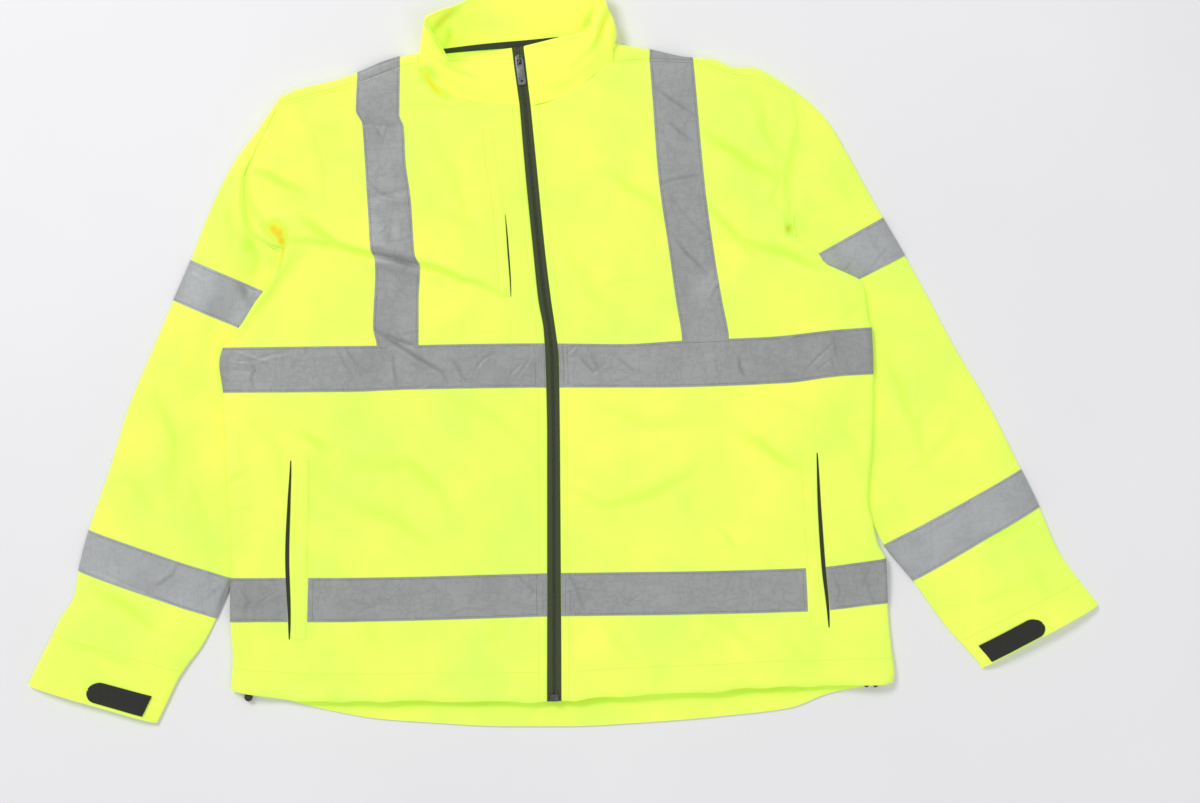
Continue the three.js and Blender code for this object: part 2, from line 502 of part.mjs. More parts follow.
const chestZip = makeGrid(2, chestZipRows[1] - chestZipRows[0] + 1, (i, j) => sample(leftFront,
  LEFT.pocket + (TAPE_LIFT + i * CHEST_ZIP) / CHEST_ZIP_SPAN, chestZipRows[0] + j))
add('chest_pocket_zip', raised(chestZip, TAPE), BLACK())

// The sleeves are flattened tubes. Each ring runs from the underarm below, out round the outer edge
// and back on top; its columns follow the body's armhole at the first ring
const HIDDEN_SHARES = [0.8, 0.5]
const ARMHOLE_SHARE = 0.2
const HEM_CORNER = -370
const OVER_SHARE = -0.92
const UPPER_SHARE = -0.8
function sleeveGrid({ sign, front, frontSide, backSide, underarm, head, sections }) {
  const outwards = new THREE.Vector3(sign * SEAM, 0, 0)
  const seamRows = Array.from({ length: ROW.top - ARM_ROW + 2 }, (_, k) => ARM_ROW - 1 + k)
  const [jogX, jogY] = front.at(frontSide, ARM_ROW - 1).point.toArray()
  const low = FLOOR_GAP
  const high = FLOOR_GAP + SLEEVE_FLAT
  const hidden = (share, height, out) => {
    const t = (share - ARMHOLE_SHARE) / (1 - ARMHOLE_SHARE)
    const first = new THREE.Vector3(mix(jogX, underarm[0], t), mix(jogY, underarm[1], t), height)
    return { share, face: out.z, first, out }
  }
  const onSeam = (share, body, row, face) => {
    const point = body.point.clone().add(outwards)
    if (row < ARM_ROW) {
      point.x += sign * CORNER_GAP
      point.z = face > 0 ? high : low
    }
    return { share, face, first: point, out: face > 0 ? UP : DOWN }
  }
  const shareAt = (row, last) => (row < ARM_ROW ? ARMHOLE_SHARE
    : mix(0.05, last, (row - ARM_ROW) / (ROW.top - ARM_ROW)))
  const atFold = (row) => back.at(backSide, row).point.clone().add(outwards)
  const ring = [
    { share: 1, face: 0, first: new THREE.Vector3(...underarm, (low + high) / 2), out: null },
    ...HIDDEN_SHARES.map((share) => hidden(share, low, DOWN)),
    ...seamRows.map((row) => onSeam(shareAt(row, OVER_SHARE), back.at(backSide, row), row, -1)),
    { share: -1, face: 0, first: atFold(FOLD_ROW), out: BACKWARDS },
    { share: OVER_SHARE, face: 1, first: atFold(OVER_ROW), out: UP },
    ...[...seamRows].reverse()
      .map((row) => onSeam(shareAt(row, UPPER_SHARE), front.at(frontSide, row), row, 1)),
    ...[...HIDDEN_SHARES].reverse().map((share) => hidden(share, high, UP))]
  const firstOuter = ring.find(({ share }) => share === -1).first
  const bandTop = sections[0]
  const headCount = head.length
  const ends = (j) => {
    if (j > headCount) return sections[j - headCount - 1]
    const t = j / (headCount + 1)
    return [...head[j - 1], mix(underarm[0], bandTop[2], t), mix(underarm[1], bandTop[3], t)]
  }
  const side = sign < 0 ? line.LEFT_SIDE : line.RIGHT_SIDE
  const cornerY = line.HEM(side(HEM_CORNER))
  const cornerX = side(cornerY)
  const freeBy = (x, y) => {
    if (y > jogY) return Math.hypot(x - jogX, y - jogY) * Math.sign(Math.max(sign * (x - jogX), y - jogY))
    if (y < cornerY) return Math.hypot(Math.max(sign * (x - cornerX), 0), y - cornerY)
    return sign * (x - side(y))
  }
  return makeGrid(ring.length, headCount + 1 + sections.length, (i, j) => {
    const { share, face, first, out } = ring[i]
    if (j === 0) return { point: first, out: out ?? new THREE.Vector3(-sign, 0, 0) }
    const [outerX, outerY, innerX, innerY] = ends(j)
    const w = (share + 1) / 2
    let x = mix(outerX, innerX, w)
    let y = mix(outerY, innerY, w)
    const t = Math.min(j / (headCount + 1), 1)
    if (t < 1) {
      const chordX = mix(firstOuter.x, underarm[0], w)
      const chordY = mix(firstOuter.y, underarm[1], w)
      x += (1 - t) * (first.x - chordX)
      y += (1 - t) * (first.y - chordY)
    }
    const press = smooth((freeBy(x, y) - PRESS_MARGIN) / PRESS_FALL)
    const rise = press * (SLEEVE_RISE + foldHeight(x, y)) * (1 - Math.abs(share) ** 3) ** 0.6
    const across = new THREE.Vector3(outerX - innerX, outerY - innerY, 0).normalize()
    const nearEdge = Math.abs(share) > 0.9 && Math.abs(share) < 1
    let z = face < 0 ? low + (nearEdge ? 0.3 : 0) : high + rise
    if (face === 0) z = (low + high + press * SLEEVE_RISE * 0.35) / 2
    if (t < 1 && face >= 0 && share < 0.2) z = mix(first.z, z, smooth(t / 0.8))
    let direction = face < 0 ? DOWN : UP
    if (face === 0) direction = across.multiplyScalar(-Math.sign(share))
    else if (nearEdge) direction = across.multiplyScalar(-Math.sign(share)).add(direction).normalize()
    return { point: new THREE.Vector3(x, y, z), out: direction }
  }, true)
}
const leftSleeve = sleeveGrid({ sign: -1, front: leftFront, frontSide: 0, backSide: 0,
  underarm: LEFT_UNDERARM, head: LEFT_HEAD, sections: LEFT_SLEEVE })
const rightSleeve = sleeveGrid({ sign: 1, front: rightFront, frontSide: RIGHT.side,
  backSide: back.columns - 1, underarm: RIGHT_UNDERARM, head: RIGHT_HEAD, sections: RIGHT_SLEEVE })
add('sleeve_left', wall(leftSleeve, 0, -CLOTH), HI_VIS())
add('sleeve_right', wall(rightSleeve, 0, -CLOTH), HI_VIS())
const bandOn = (sleeve, head, [from, to]) => strip(sleeve, [0, sleeve.columns - 1],
  [head.length + 1 + from, head.length + 1 + to], [])
tape('sleeve_band_upper_left', bandOn(leftSleeve, LEFT_HEAD, UPPER_BAND))
tape('sleeve_band_lower_left', bandOn(leftSleeve, LEFT_HEAD, LOWER_BAND))
tape('sleeve_band_upper_right', bandOn(rightSleeve, RIGHT_HEAD, UPPER_BAND))
tape('sleeve_band_lower_right', bandOn(rightSleeve, RIGHT_HEAD, LOWER_BAND))

// The stand collar rises from the neck edge, round from one side of the zip to the other
const neckEdge = []
const sewTo = (grid, [i, j], [fromI, fromJ], out = grid.at(i, j).out) => {
  const edge = grid.at(i, j)
  const away = new THREE.Vector3().subVectors(edge.point, grid.at(fromI, fromJ).point)
  away.z = 0
  neckEdge.push({ point: edge.point.clone().addScaledVector(away.normalize(), SEAM), out })
}
const sideways = (sign, rise) => new THREE.Vector3(sign, 0, rise).normalize()
const neckColumns = (from, to) => Array.from({ length: Math.abs(to - from) + 1 },
  (_, k) => from + Math.sign(to - from) * k)
neckColumns(LEFT.zip, LEFT.neck).filter((i) => i !== LEFT.chestWelt)
  .forEach((i) => sewTo(leftFront, [i, ROW.top], [i, ROW.top - 1]))
sewTo(back, [LEFT_NECK, OVER_ROW], [LEFT_NECK - 1, OVER_ROW], sideways(-1, 1))
sewTo(back, [LEFT_NECK, FOLD_ROW], [LEFT_NECK - 1, FOLD_ROW], sideways(-1, 0))
neckEdge.at(-1).point.y += 2 * SEAM
neckColumns(LEFT_NECK + 1, RIGHT_NECK - 1).filter((i) => i !== LEFT.chestWelt)
  .forEach((i) => sewTo(back, [i, FOLD_ROW], [i, FOLD_ROW - 1]))
sewTo(back, [RIGHT_NECK, FOLD_ROW], [RIGHT_NECK + 1, FOLD_ROW], sideways(1, 0))
neckEdge.at(-1).point.y += 2 * SEAM
sewTo(back, [RIGHT_NECK, OVER_ROW], [RIGHT_NECK + 1, OVER_ROW], sideways(1, 1))
neckColumns(RIGHT.neck, RIGHT.zip).forEach((i) => sewTo(rightFront, [i, ROW.top], [i, ROW.top - 1]))
const collar = makeGrid(neckEdge.length, COLLAR_ROWS.length, (i, j) => {
  const base = neckEdge[i]
  const t = COLLAR_ROWS[j]
  const point = base.point.clone().lerp(new THREE.Vector3(...COLLAR_TOP[i]), t)
  point.z += COLLAR_BULGE * Math.sin(Math.PI * t) * (i >= COLLAR_BACK[0] && i <= COLLAR_BACK[1] ? 0.3 : 1)
  return { point, out: base.out }
})
const collarOut = (i, j) => {
  const along = new THREE.Vector3().subVectors(
    collar.at(Math.min(i + 1, collar.columns - 1), j).point, collar.at(Math.max(i - 1, 0), j).point)
  const up = new THREE.Vector3().subVectors(
    collar.at(i, Math.min(j + 1, collar.rows - 1)).point, collar.at(i, Math.max(j - 1, 0)).point)
  return up.cross(along).normalize()
}
for (let j = 1; j < collar.rows; j += 1) {
  for (let i = 0; i < collar.columns; i += 1) collar.at(i, j).out = collarOut(i, j)
}
add('collar', wall(collar, 0, -COLLAR_CLOTH), HI_VIS())
const neckTape = patch(collar, NECK_TAPE, [0, 1])
add('neck_tape', wall(neckTape, -COLLAR_CLOTH - TAPE_LIFT, -COLLAR_CLOTH - TAPE_LIFT - TAPE), BLACK())

// Front zip: a tape on each side from the hem to the top of the collar
const zipRows = ROW.top + collar.rows
const zipEdge = (front, column, collarColumn, j) => (j <= ROW.top
  ? front.at(column, j).point : collar.at(collarColumn, j - ROW.top).point)
const zipGrid = (side) => makeGrid(2, zipRows, (i, j) => {
  const left = zipEdge(leftFront, LEFT.zip, 0, j)
  const right = zipEdge(rightFront, RIGHT.zip, collar.columns - 1, j)
  const width = right.distanceTo(left)
  const inner = TAPE_LIFT / 2 / width
  const outer = 0.5 - SEAM / width
  const away = side * [outer, inner][i]
  const point = left.clone().lerp(right, 0.5 + away)
  point.z -= ZIP_RECESS
  return { point, out: UP }
})
const zipLeft = zipGrid(-1)
const zipRight = zipGrid(1)
add('zip_tape_left', wall(zipLeft, 0, -ZIP_TAPE), ZIP_CLOTH())
add('zip_tape_right', wall(zipRight, 0, -ZIP_TAPE), ZIP_CLOTH())

// The middle of the zip at a height up the jacket, with its direction
function zipAt(height) {
  const middle = (j) => zipLeft.at(1, j).point.clone().lerp(zipRight.at(1, j).point, 0.5)
  let j = 0
  while (j < zipRows - 2 && middle(j + 1).y < height) j += 1
  const [from, to] = [middle(j), middle(j + 1)]
  const t = (height - from.y) / (to.y - from.y)
  return { point: from.clone().lerp(to, t), along: to.sub(from).normalize() }
}

// Solids joined into one body
const { Manifold, Mesh } = await startManifold()
async function startManifold() {
  const module = await Module()
  module.setup()
  return module
}
function solid(geometry) {
  const loose = geometry.index ? geometry.toNonIndexed() : geometry
  const merged = mergeVertices(new THREE.BufferGeometry()
    .setAttribute('position', loose.getAttribute('position')), 1e-4)
  return new Manifold(new Mesh({ numProp: 3,
    vertProperties: new Float32Array(merged.getAttribute('position').array),
    triVerts: new Uint32Array(merged.getIndex().array) }))
}
function joined(geometries) {
  const mesh = Manifold.union(geometries.map(solid)).getMesh()
  const geometry = new THREE.BufferGeometry()
  geometry.setAttribute('position', new THREE.Float32BufferAttribute(mesh.vertProperties, 3))
  geometry.setIndex([...mesh.triVerts])
  return geometry
}

// A flat plate with rounded corners, from a low to a high level
function plate(wide, long, corner, low, high, holes = []) {
  const [a, b] = [wide / 2, long / 2]
  const shape = new THREE.Shape()
  shape.moveTo(-a + corner, -b)
  shape.lineTo(a - corner, -b)
  shape.absarc(a - corner, -b + corner, corner, -Math.PI / 2, 0)
  shape.absarc(a - corner, b - corner, corner, 0, Math.PI / 2)
  shape.absarc(-a + corner, b - corner, corner, Math.PI / 2, Math.PI)
  shape.absarc(-a + corner, -b + corner, corner, Math.PI, Math.PI * 1.5)
  shape.holes.push(...holes)
  return new THREE.ExtrudeGeometry(shape, { depth: high - low, bevelEnabled: false, curveSegments: 4 })
    .translate(0, 0, low)
}
const slab = (x, y, z, wide, long, thick) => new THREE.BoxGeometry(wide, long, thick).translate(x, y, z)
const rod = (radius, length, sides = 12) => new THREE.CylinderGeometry(radius, radius, length, sides)

// The slider and its pull tab share a frame on the zip: across, along, up
const sliderSeat = zipAt(SLIDER.up)
const across = sliderSeat.along.clone().cross(UP).normalize()
const above = across.clone().cross(sliderSeat.along).normalize()
const seat = sliderSeat.point.clone().addScaledVector(above, TAPE_LIFT)
const onZip = new THREE.Matrix4().makeBasis(across, sliderSeat.along, above).setPosition(seat)
const archFoot = SLIDER.long / 2 - 1.1
const archTop = SLIDER.thick + SLIDER.archHigh
const slider = joined([
  plate(SLIDER.wide, SLIDER.long, 2, 0, SLIDER.thick),
  slab(0, archFoot, (1 + archTop) / 2, SLIDER.archWide, SLIDER.archThick * 1.4, archTop - 1),
  slab(0, -archFoot, (1 + archTop) / 2, SLIDER.archWide, SLIDER.archThick * 1.4, archTop - 1),
  slab(0, 0, archTop - SLIDER.archThick / 2, SLIDER.archWide, 2 * archFoot, SLIDER.archThick)])
add('zip_slider', slider.applyMatrix4(onZip), METAL())

// The tab hangs from a pin under the arch, its slot round the lower foot, its end near the zip
const pinHeight = SLIDER.thick + PULL.pin + PULL.pinGap
const hang = (() => {
  const end = zipAt(SLIDER.up - PULL.long + 2)
  const pin = new THREE.Vector3(0, 0, pinHeight).applyMatrix4(onZip)
  const target = end.point.clone().addScaledVector(UP, TAPE_LIFT + PULL.gripThick / 2)
  return { pin, down: target.sub(pin).normalize() }
})()
const hangAcross = across.clone()
const hangUp = hang.down.clone().cross(hangAcross).normalize()
const onPin = new THREE.Matrix4().makeBasis(hangAcross, hang.down.clone().negate(),
  hangUp.dot(UP) > 0 ? hangUp : hangUp.negate()).setPosition(hang.pin)
const slotHole = new THREE.Path()
const slotHalf = PULL.wide / 2 - PULL.bar
slotHole.moveTo(-slotHalf, -PULL.pin + PULL.long / 2 - 0.7)
slotHole.lineTo(slotHalf, -PULL.pin + PULL.long / 2 - 0.7)
slotHole.lineTo(slotHalf, PULL.long / 2 - PULL.slot)
slotHole.lineTo(-slotHalf, PULL.long / 2 - PULL.slot)
slotHole.closePath()
const eyeHole = new THREE.Path().absarc(0, -PULL.long / 2 + 4, PULL.eye, 0, Math.PI * 2, true)
const tabShift = -PULL.long / 2 + PULL.pin
const pull = joined([
  plate(PULL.wide, PULL.long, 2.2, -PULL.thick / 2, PULL.thick / 2, [slotHole, eyeHole])
    .translate(0, tabShift, 0),
  plate(PULL.wide - 1.6, PULL.grip, 2, -PULL.gripThick / 2, PULL.gripThick / 2)
    .translate(0, tabShift - PULL.long / 2 + 7 + PULL.grip / 2, 0)])
add('zip_pull_tab', pull.applyMatrix4(onPin), METAL())

// Box and pin at the foot of the zip
const foot = zipAt(line.HEM(-10) + ZIP_BOX.long / 2 + 0.5)
const zipBox = joined([
  plate(ZIP_BOX.wide, ZIP_BOX.long, 1.6, 0, ZIP_BOX.thick),
  rod(ZIP_BOX.pin / 2, ZIP_BOX.pinLong).translate(ZIP_BOX.wide / 4, ZIP_BOX.long / 2, ZIP_BOX.pin / 2)])
add('zip_box', zipBox.translate(foot.point.x, foot.point.y, foot.point.z + TAPE_LIFT), METAL())

// Cord locks at the hem
const lockFloor = FLOOR_GAP + CLOTH + TAPE_LIFT
const leftBall = new THREE.SphereGeometry(LEFT_LOCK.ball, 18, 12)
const leftLock = joined([leftBall,
  rod(LEFT_LOCK.barrel, LEFT_LOCK.reach).translate(0, LEFT_LOCK.reach / 2, 0)])
add('cord_lock_left', leftLock.translate(LEFT_LOCK.x, LEFT_LOCK.y, lockFloor + LEFT_LOCK.barrel), PLASTIC())
const lockTip = (x) => new THREE.SphereGeometry(RIGHT_LOCK.tip, 14, 10).translate(x, 0, 0)
const lockBarrel = (x) => rod(RIGHT_LOCK.tip, RIGHT_LOCK.reach).translate(x, RIGHT_LOCK.reach / 2, 0)
const tipX = RIGHT_LOCK.apart / 2
const rightLock = joined([lockTip(-tipX), lockTip(tipX), lockBarrel(-tipX), lockBarrel(tipX),
  slab(0, RIGHT_LOCK.reach * 0.65, 0, RIGHT_LOCK.apart, RIGHT_LOCK.reach * 0.6, RIGHT_LOCK.barrel)])
add('cord_lock_right', rightLock.translate(RIGHT_LOCK.x, RIGHT_LOCK.y, lockFloor + RIGHT_LOCK.tip), PLASTIC())

// Cuff tabs, rounded at the end away from the underarm
function cuffTab(name, sleeve, head, cuff) {
  const [low, high] = cuff.rows.map((row) => head.length + 1 + row)
  const first = sleeve.columns - 5
  const columns = [...CUFF_TAB_COLUMNS.filter((column) => column < cuff.last), cuff.last]
  const start = sample(sleeve, first, low).point
  const grid = makeGrid(columns.length, 4, (i, j) => {
    const u = first + columns[i]
    const reached = sample(sleeve, u, low).point.distanceTo(start)
    const inside = Math.min(reached / CUFF_TAB.round, 1)
    const half = 0.5 * Math.max(Math.sqrt(1 - (1 - inside) ** 2), 0.25)
    return sample(sleeve, u, mix(low, high, 0.5 + half * (2 * j / 3 - 1)))
  })
  add(name, wall(grid, CUFF_TAB.lift + CUFF_TAB.thick, CUFF_TAB.lift), BLACK())
}
cuffTab('cuff_tab_left', leftSleeve, LEFT_HEAD, LEFT_CUFF)
cuffTab('cuff_tab_right', rightSleeve, RIGHT_HEAD, RIGHT_CUFF)

// The origin is in the middle of the footprint, on the surface that the jacket lies on
const box = new THREE.Box3().setFromObject(jacket)
jacket.position.set(-(box.min.x + box.max.x) / 2, -(box.min.y + box.max.y) / 2, -box.min.z)

export default jacket
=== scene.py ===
"""Hi-vis work jacket lying flat on its back. Built in mm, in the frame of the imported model."""
import math

import bpy
import numpy as np
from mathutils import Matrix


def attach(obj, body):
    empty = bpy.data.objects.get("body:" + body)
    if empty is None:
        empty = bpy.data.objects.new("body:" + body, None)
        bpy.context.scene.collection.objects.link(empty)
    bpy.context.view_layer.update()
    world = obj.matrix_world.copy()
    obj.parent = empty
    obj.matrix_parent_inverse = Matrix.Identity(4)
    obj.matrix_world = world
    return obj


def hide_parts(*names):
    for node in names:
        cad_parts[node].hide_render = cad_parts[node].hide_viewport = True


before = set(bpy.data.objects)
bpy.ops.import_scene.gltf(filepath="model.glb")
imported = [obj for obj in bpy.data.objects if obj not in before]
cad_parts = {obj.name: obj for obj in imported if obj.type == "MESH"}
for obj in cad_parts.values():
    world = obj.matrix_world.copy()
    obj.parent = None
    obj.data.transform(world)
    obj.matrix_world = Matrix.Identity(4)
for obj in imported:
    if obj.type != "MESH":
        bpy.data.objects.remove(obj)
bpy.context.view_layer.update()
MM = 0.001
PLAN = 1.136  # mm per pixel of the photograph, from the 50 mm tape


def photo(x, y):
    """A place in the photograph as mm across and up the jacket."""
    return (x - 562.75) * PLAN, (357.5 - y) * PLAN


# Sizes
CLOTH = 1.3
COLLAR_CLOTH = 2.0
TAPE = 0.4
TAPE_LIFT = 0.3
SEAM = 0.4
WELT = 0.8
ZIP_TAPE = 1.1
ZIP_RECESS = 0.4
POCKET_OPENING = 5
CHEST_WELT = 14
FLOOR_GAP = 0.8
FLOOR_SHIFT = 0.1
AIR = 5
BODY_STACK = 2 * CLOTH + AIR
SLEEVE_FLAT = 3.4
BODY_LIFT = 5.4
LIFT_MARGIN = 12
LIFT_FALL = 40
SLEEVE_RISE = 9
PRESS_MARGIN = 14
PRESS_FALL = 45
CHEST_PUFF = 7
SHOULDER_RISE = 5.5
SHOULDER_REACH = 150
HEM_RISE = 6
HEM_REACH = 80
EDGE_ROLL = 2
EDGE_FLAT = 8
FOLD_ROLL = 8

# Lines across the jacket, as [distance from the middle, height up the jacket]
ACROSS = {
    "hem": [[-377, -377], [-361, -381], [-321, -386], [-287, -390], [-162, -389], [-20, -390],
            [65, -383], [156, -379], [224, -374], [338, -371], [375, -369]],
    "back_hem": [[-377, -379], [-342, -383], [-298, -394], [-259, -403], [-213, -411], [-162, -415],
                 [-60, -420], [-3, -420], [116, -414], [184, -408], [258, -399], [304, -382],
                 [340, -375], [375, -370]],
    "welt_low": [[-377, -322], [375, -305]],
    "hem_band_low": [[-377, -300], [-291, -300], [-18, -294], [276, -288], [369, -279]],
    "hem_band_high": [[-376, -250], [-288, -250], [-18, -245], [276, -239], [367, -228]],
    "welt_high": [[-377, -117], [375, -106]],
    "chest_band_low": [[-387, -40], [-247, -39], [-162, -36], [-3, -34], [99, -34], [252, -29],
                       [315, -21], [352, -19]],
    "chest_band_high": [[-387, 11], [-210, 13], [-22, 16], [65, 15], [138, 19], [235, 23],
                        [309, 31], [350, 34]],
    "front_top": [[-325, 286], [-303, 293], [-264, 303], [-234, 311], [-185, 329], [-164, 333],
                  [-153, 318], [-139, 304], [-121, 295], [-94, 288], [-49, 285], [-36, 285],
                  [-3, 294], [31, 315], [49, 331], [58, 335], [99, 338], [148, 336], [170, 329],
                  [196, 320], [215, 318], [262, 296]],
    "outline": [[-325, 293], [-303, 304], [-264, 313], [-239, 321], [-191, 340], [-163, 345],
                [-139, 347], [-49, 353], [-2, 358], [42, 361], [58, 357], [101, 349], [145, 340],
                [170, 339], [196, 329], [215, 329], [247, 314], [262, 304]],
}
# Lines up the jacket, as [height up the jacket, distance from the middle]
UP = {
    "left_side": [[286, -321], [270, -331], [256, -341], [240, -351], [223, -357], [190, -361],
                  [158, -359], [143, -353], [130, -335], [122, -320], [105, -326], [82, -335],
                  [61, -350], [40, -363], [22, -376], [11, -385], [-7, -389], [-39, -385],
                  [-94, -383], [-139, -381], [-207, -376], [-300, -377], [-338, -375], [-377, -377]],
    "left_slit": [[286, -285], [122, -298], [11, -308], [-116, -307], [-162, -309], [-230, -312],
                  [-300, -310], [-377, -312]],
    "left_welt": [[286, -258], [122, -278], [11, -286], [-116, -285], [-300, -290], [-377, -291]],
    "left_brace_out": [[311, -233], [279, -234], [264, -227], [236, -225], [173, -221],
                       [122, -217], [108, -212], [34, -214], [13, -210], [-116, -209], [-378, -206]],
    "left_brace_in": [[329, -184], [275, -185], [261, -180], [224, -178], [179, -172],
                      [116, -167], [102, -161], [65, -163], [-378, -159]],
    "left_pocket": [[289, -92], [264, -80], [213, -74], [179, -68], [122, -63], [73, -60],
                    [-378, -58]],
    "left_zip": [[285, -49], [202, -42], [122, -34], [65, -28], [31, -22], [-3, -20], [-94, -18],
                 [-391, -18]],
    "right_zip": [[285, -36], [224, -30], [122, -20], [65, -13], [31, -8], [-3, -4], [-230, -2],
                  [-391, -1]],
    "right_brace_in": [[338, 98], [287, 102], [258, 104], [207, 108], [122, 120], [65, 128],
                       [19, 135], [-378, 145]],
    "right_brace_out": [[336, 148], [281, 153], [227, 158], [179, 163], [122, 171], [65, 180],
                        [22, 188], [-29, 190], [-378, 199]],
    "right_welt": [[296, 207], [143, 215], [22, 256], [-29, 262], [-105, 267], [-239, 276],
                   [-307, 279], [-378, 281]],
    "right_slit": [[296, 230], [143, 235], [22, 276], [-29, 282], [-114, 288], [-185, 292],
                   [-241, 296], [-289, 301], [-378, 305]],
    "right_side": [[296, 257], [275, 261], [254, 264], [224, 259], [190, 257], [141, 255],
                   [133, 265], [126, 281], [118, 290], [106, 299], [101, 310], [94, 326],
                   [88, 337], [77, 342], [43, 347], [34, 350], [-19, 352], [-94, 351],
                   [-139, 347], [-162, 346], [-185, 351], [-213, 358], [-228, 366], [-278, 369],
                   [-332, 374], [-357, 377], [-370, 375]],
}
# Sleeve sections from the upper band to the cuff: outer x and y, inner x and y
LEFT_SLEEVE = [
    [-423, 111, -230, 28], [-443, 65, -255, -15], [-469, 3, -286, -76], [-494, -57, -317, -133],
    [-515, -126, -348, -190], [-539, -196, -376, -252], [-551, -243, -395, -297],
    [-556, -272, -411, -328], [-571, -296, -426, -348], [-588, -330, -438, -366],
    [-597, -348, -449, -389], [-607, -369, -460, -412], [-609, -373, -462, -416]]
RIGHT_SLEEVE = [
    [364, 159, 184, 59], [389, 116, 205, 20], [417, 65, 242, -28], [447, 9, 282, -80],
    [480, -46, 323, -130], [521, -127, 366, -213], [542, -170, 399, -254], [565, -222, 424, -289],
    [580, -244, 440, -310], [594, -262, 461, -333], [608, -280, 476, -351], [609, -282, 477, -353]]
LEFT_HEAD = [[-347, 258], [-369, 229], [-385, 202], [-404, 161]]
RIGHT_HEAD = [[283, 288], [303, 266], [325, 229], [346, 191]]
LEFT_UNDERARM = (-262, 62)
RIGHT_UNDERARM = (213, 86)
CORNER_GAP = 2.4
JOG_ROW = 17.3
JOG_OUT = 7
ARM_GAP = 0.03
JOG_LOW = 6.3
# Free top edge of the collar, from the left of the zip round the neck to its right
COLLAR_TOP = [
    [-58, 350.5, 13.5], [-76, 347, 14], [-97, 342.5, 16], [-114, 338, 20], [-126, 336, 27],
    [-136, 349.5, 35], [-146, 364, 39], [-154, 376.5, 38], [-142, 387, 33], [-119, 397, 24],
    [-96, 410.5, 14], [-75, 416.5, 8], [-43, 420, 5], [-12, 420, 5], [10.5, 420, 8],
    [26.5, 420, 15], [39, 419.5, 24], [44.5, 415, 31], [40, 401.5, 31], [34.5, 385.5, 26],
    [26.5, 370, 19], [-5, 362, 15], [-44, 352.5, 13.5]]
COLLAR_ROWS = [0, 0.12, 0.35, 0.6, 0.82, 1]
COLLAR_BULGE = 5
NECK_GAP = 0.15
FLARE = (616, 30)
FLARE_OUT = 8
# Largest folds: where each runs, its half width and its height
FOLDS = [
    [-322, 150, -178, 116, 17, 5], [-205, 122, -66, 84, 15, 3.5], [-350, 211, -292, 189, 13, 4],
    [-338, 172, -300, 112, 14, 4.5], [-300, 92, -222, 36, 16, 3], [-268, -86, -176, -132, 18, 3],
    [-176, -60, -84, -178, 24, 2.5], [206, 284, 250, 196, 15, 4], [182, 214, 262, 150, 15, 4],
    [200, 128, 318, 70, 17, 3.5], [12, -150, 60, -176, 14, 3], [66, -172, 170, -92, 20, 3],
    [205, -88, 268, -166, 18, 3], [60, 240, 34, 60, 30, 2.5], [-395, 150, -330, 60, 14, 2.5],
    [-520, -90, -400, -150, 20, 2.5], [-560, -300, -455, -330, 12, 2.5],
    [390, 90, 372, -30, 18, 2.5], [500, -60, 420, -150, 20, 2.5], [560, -232, 470, -262, 14, 3]]
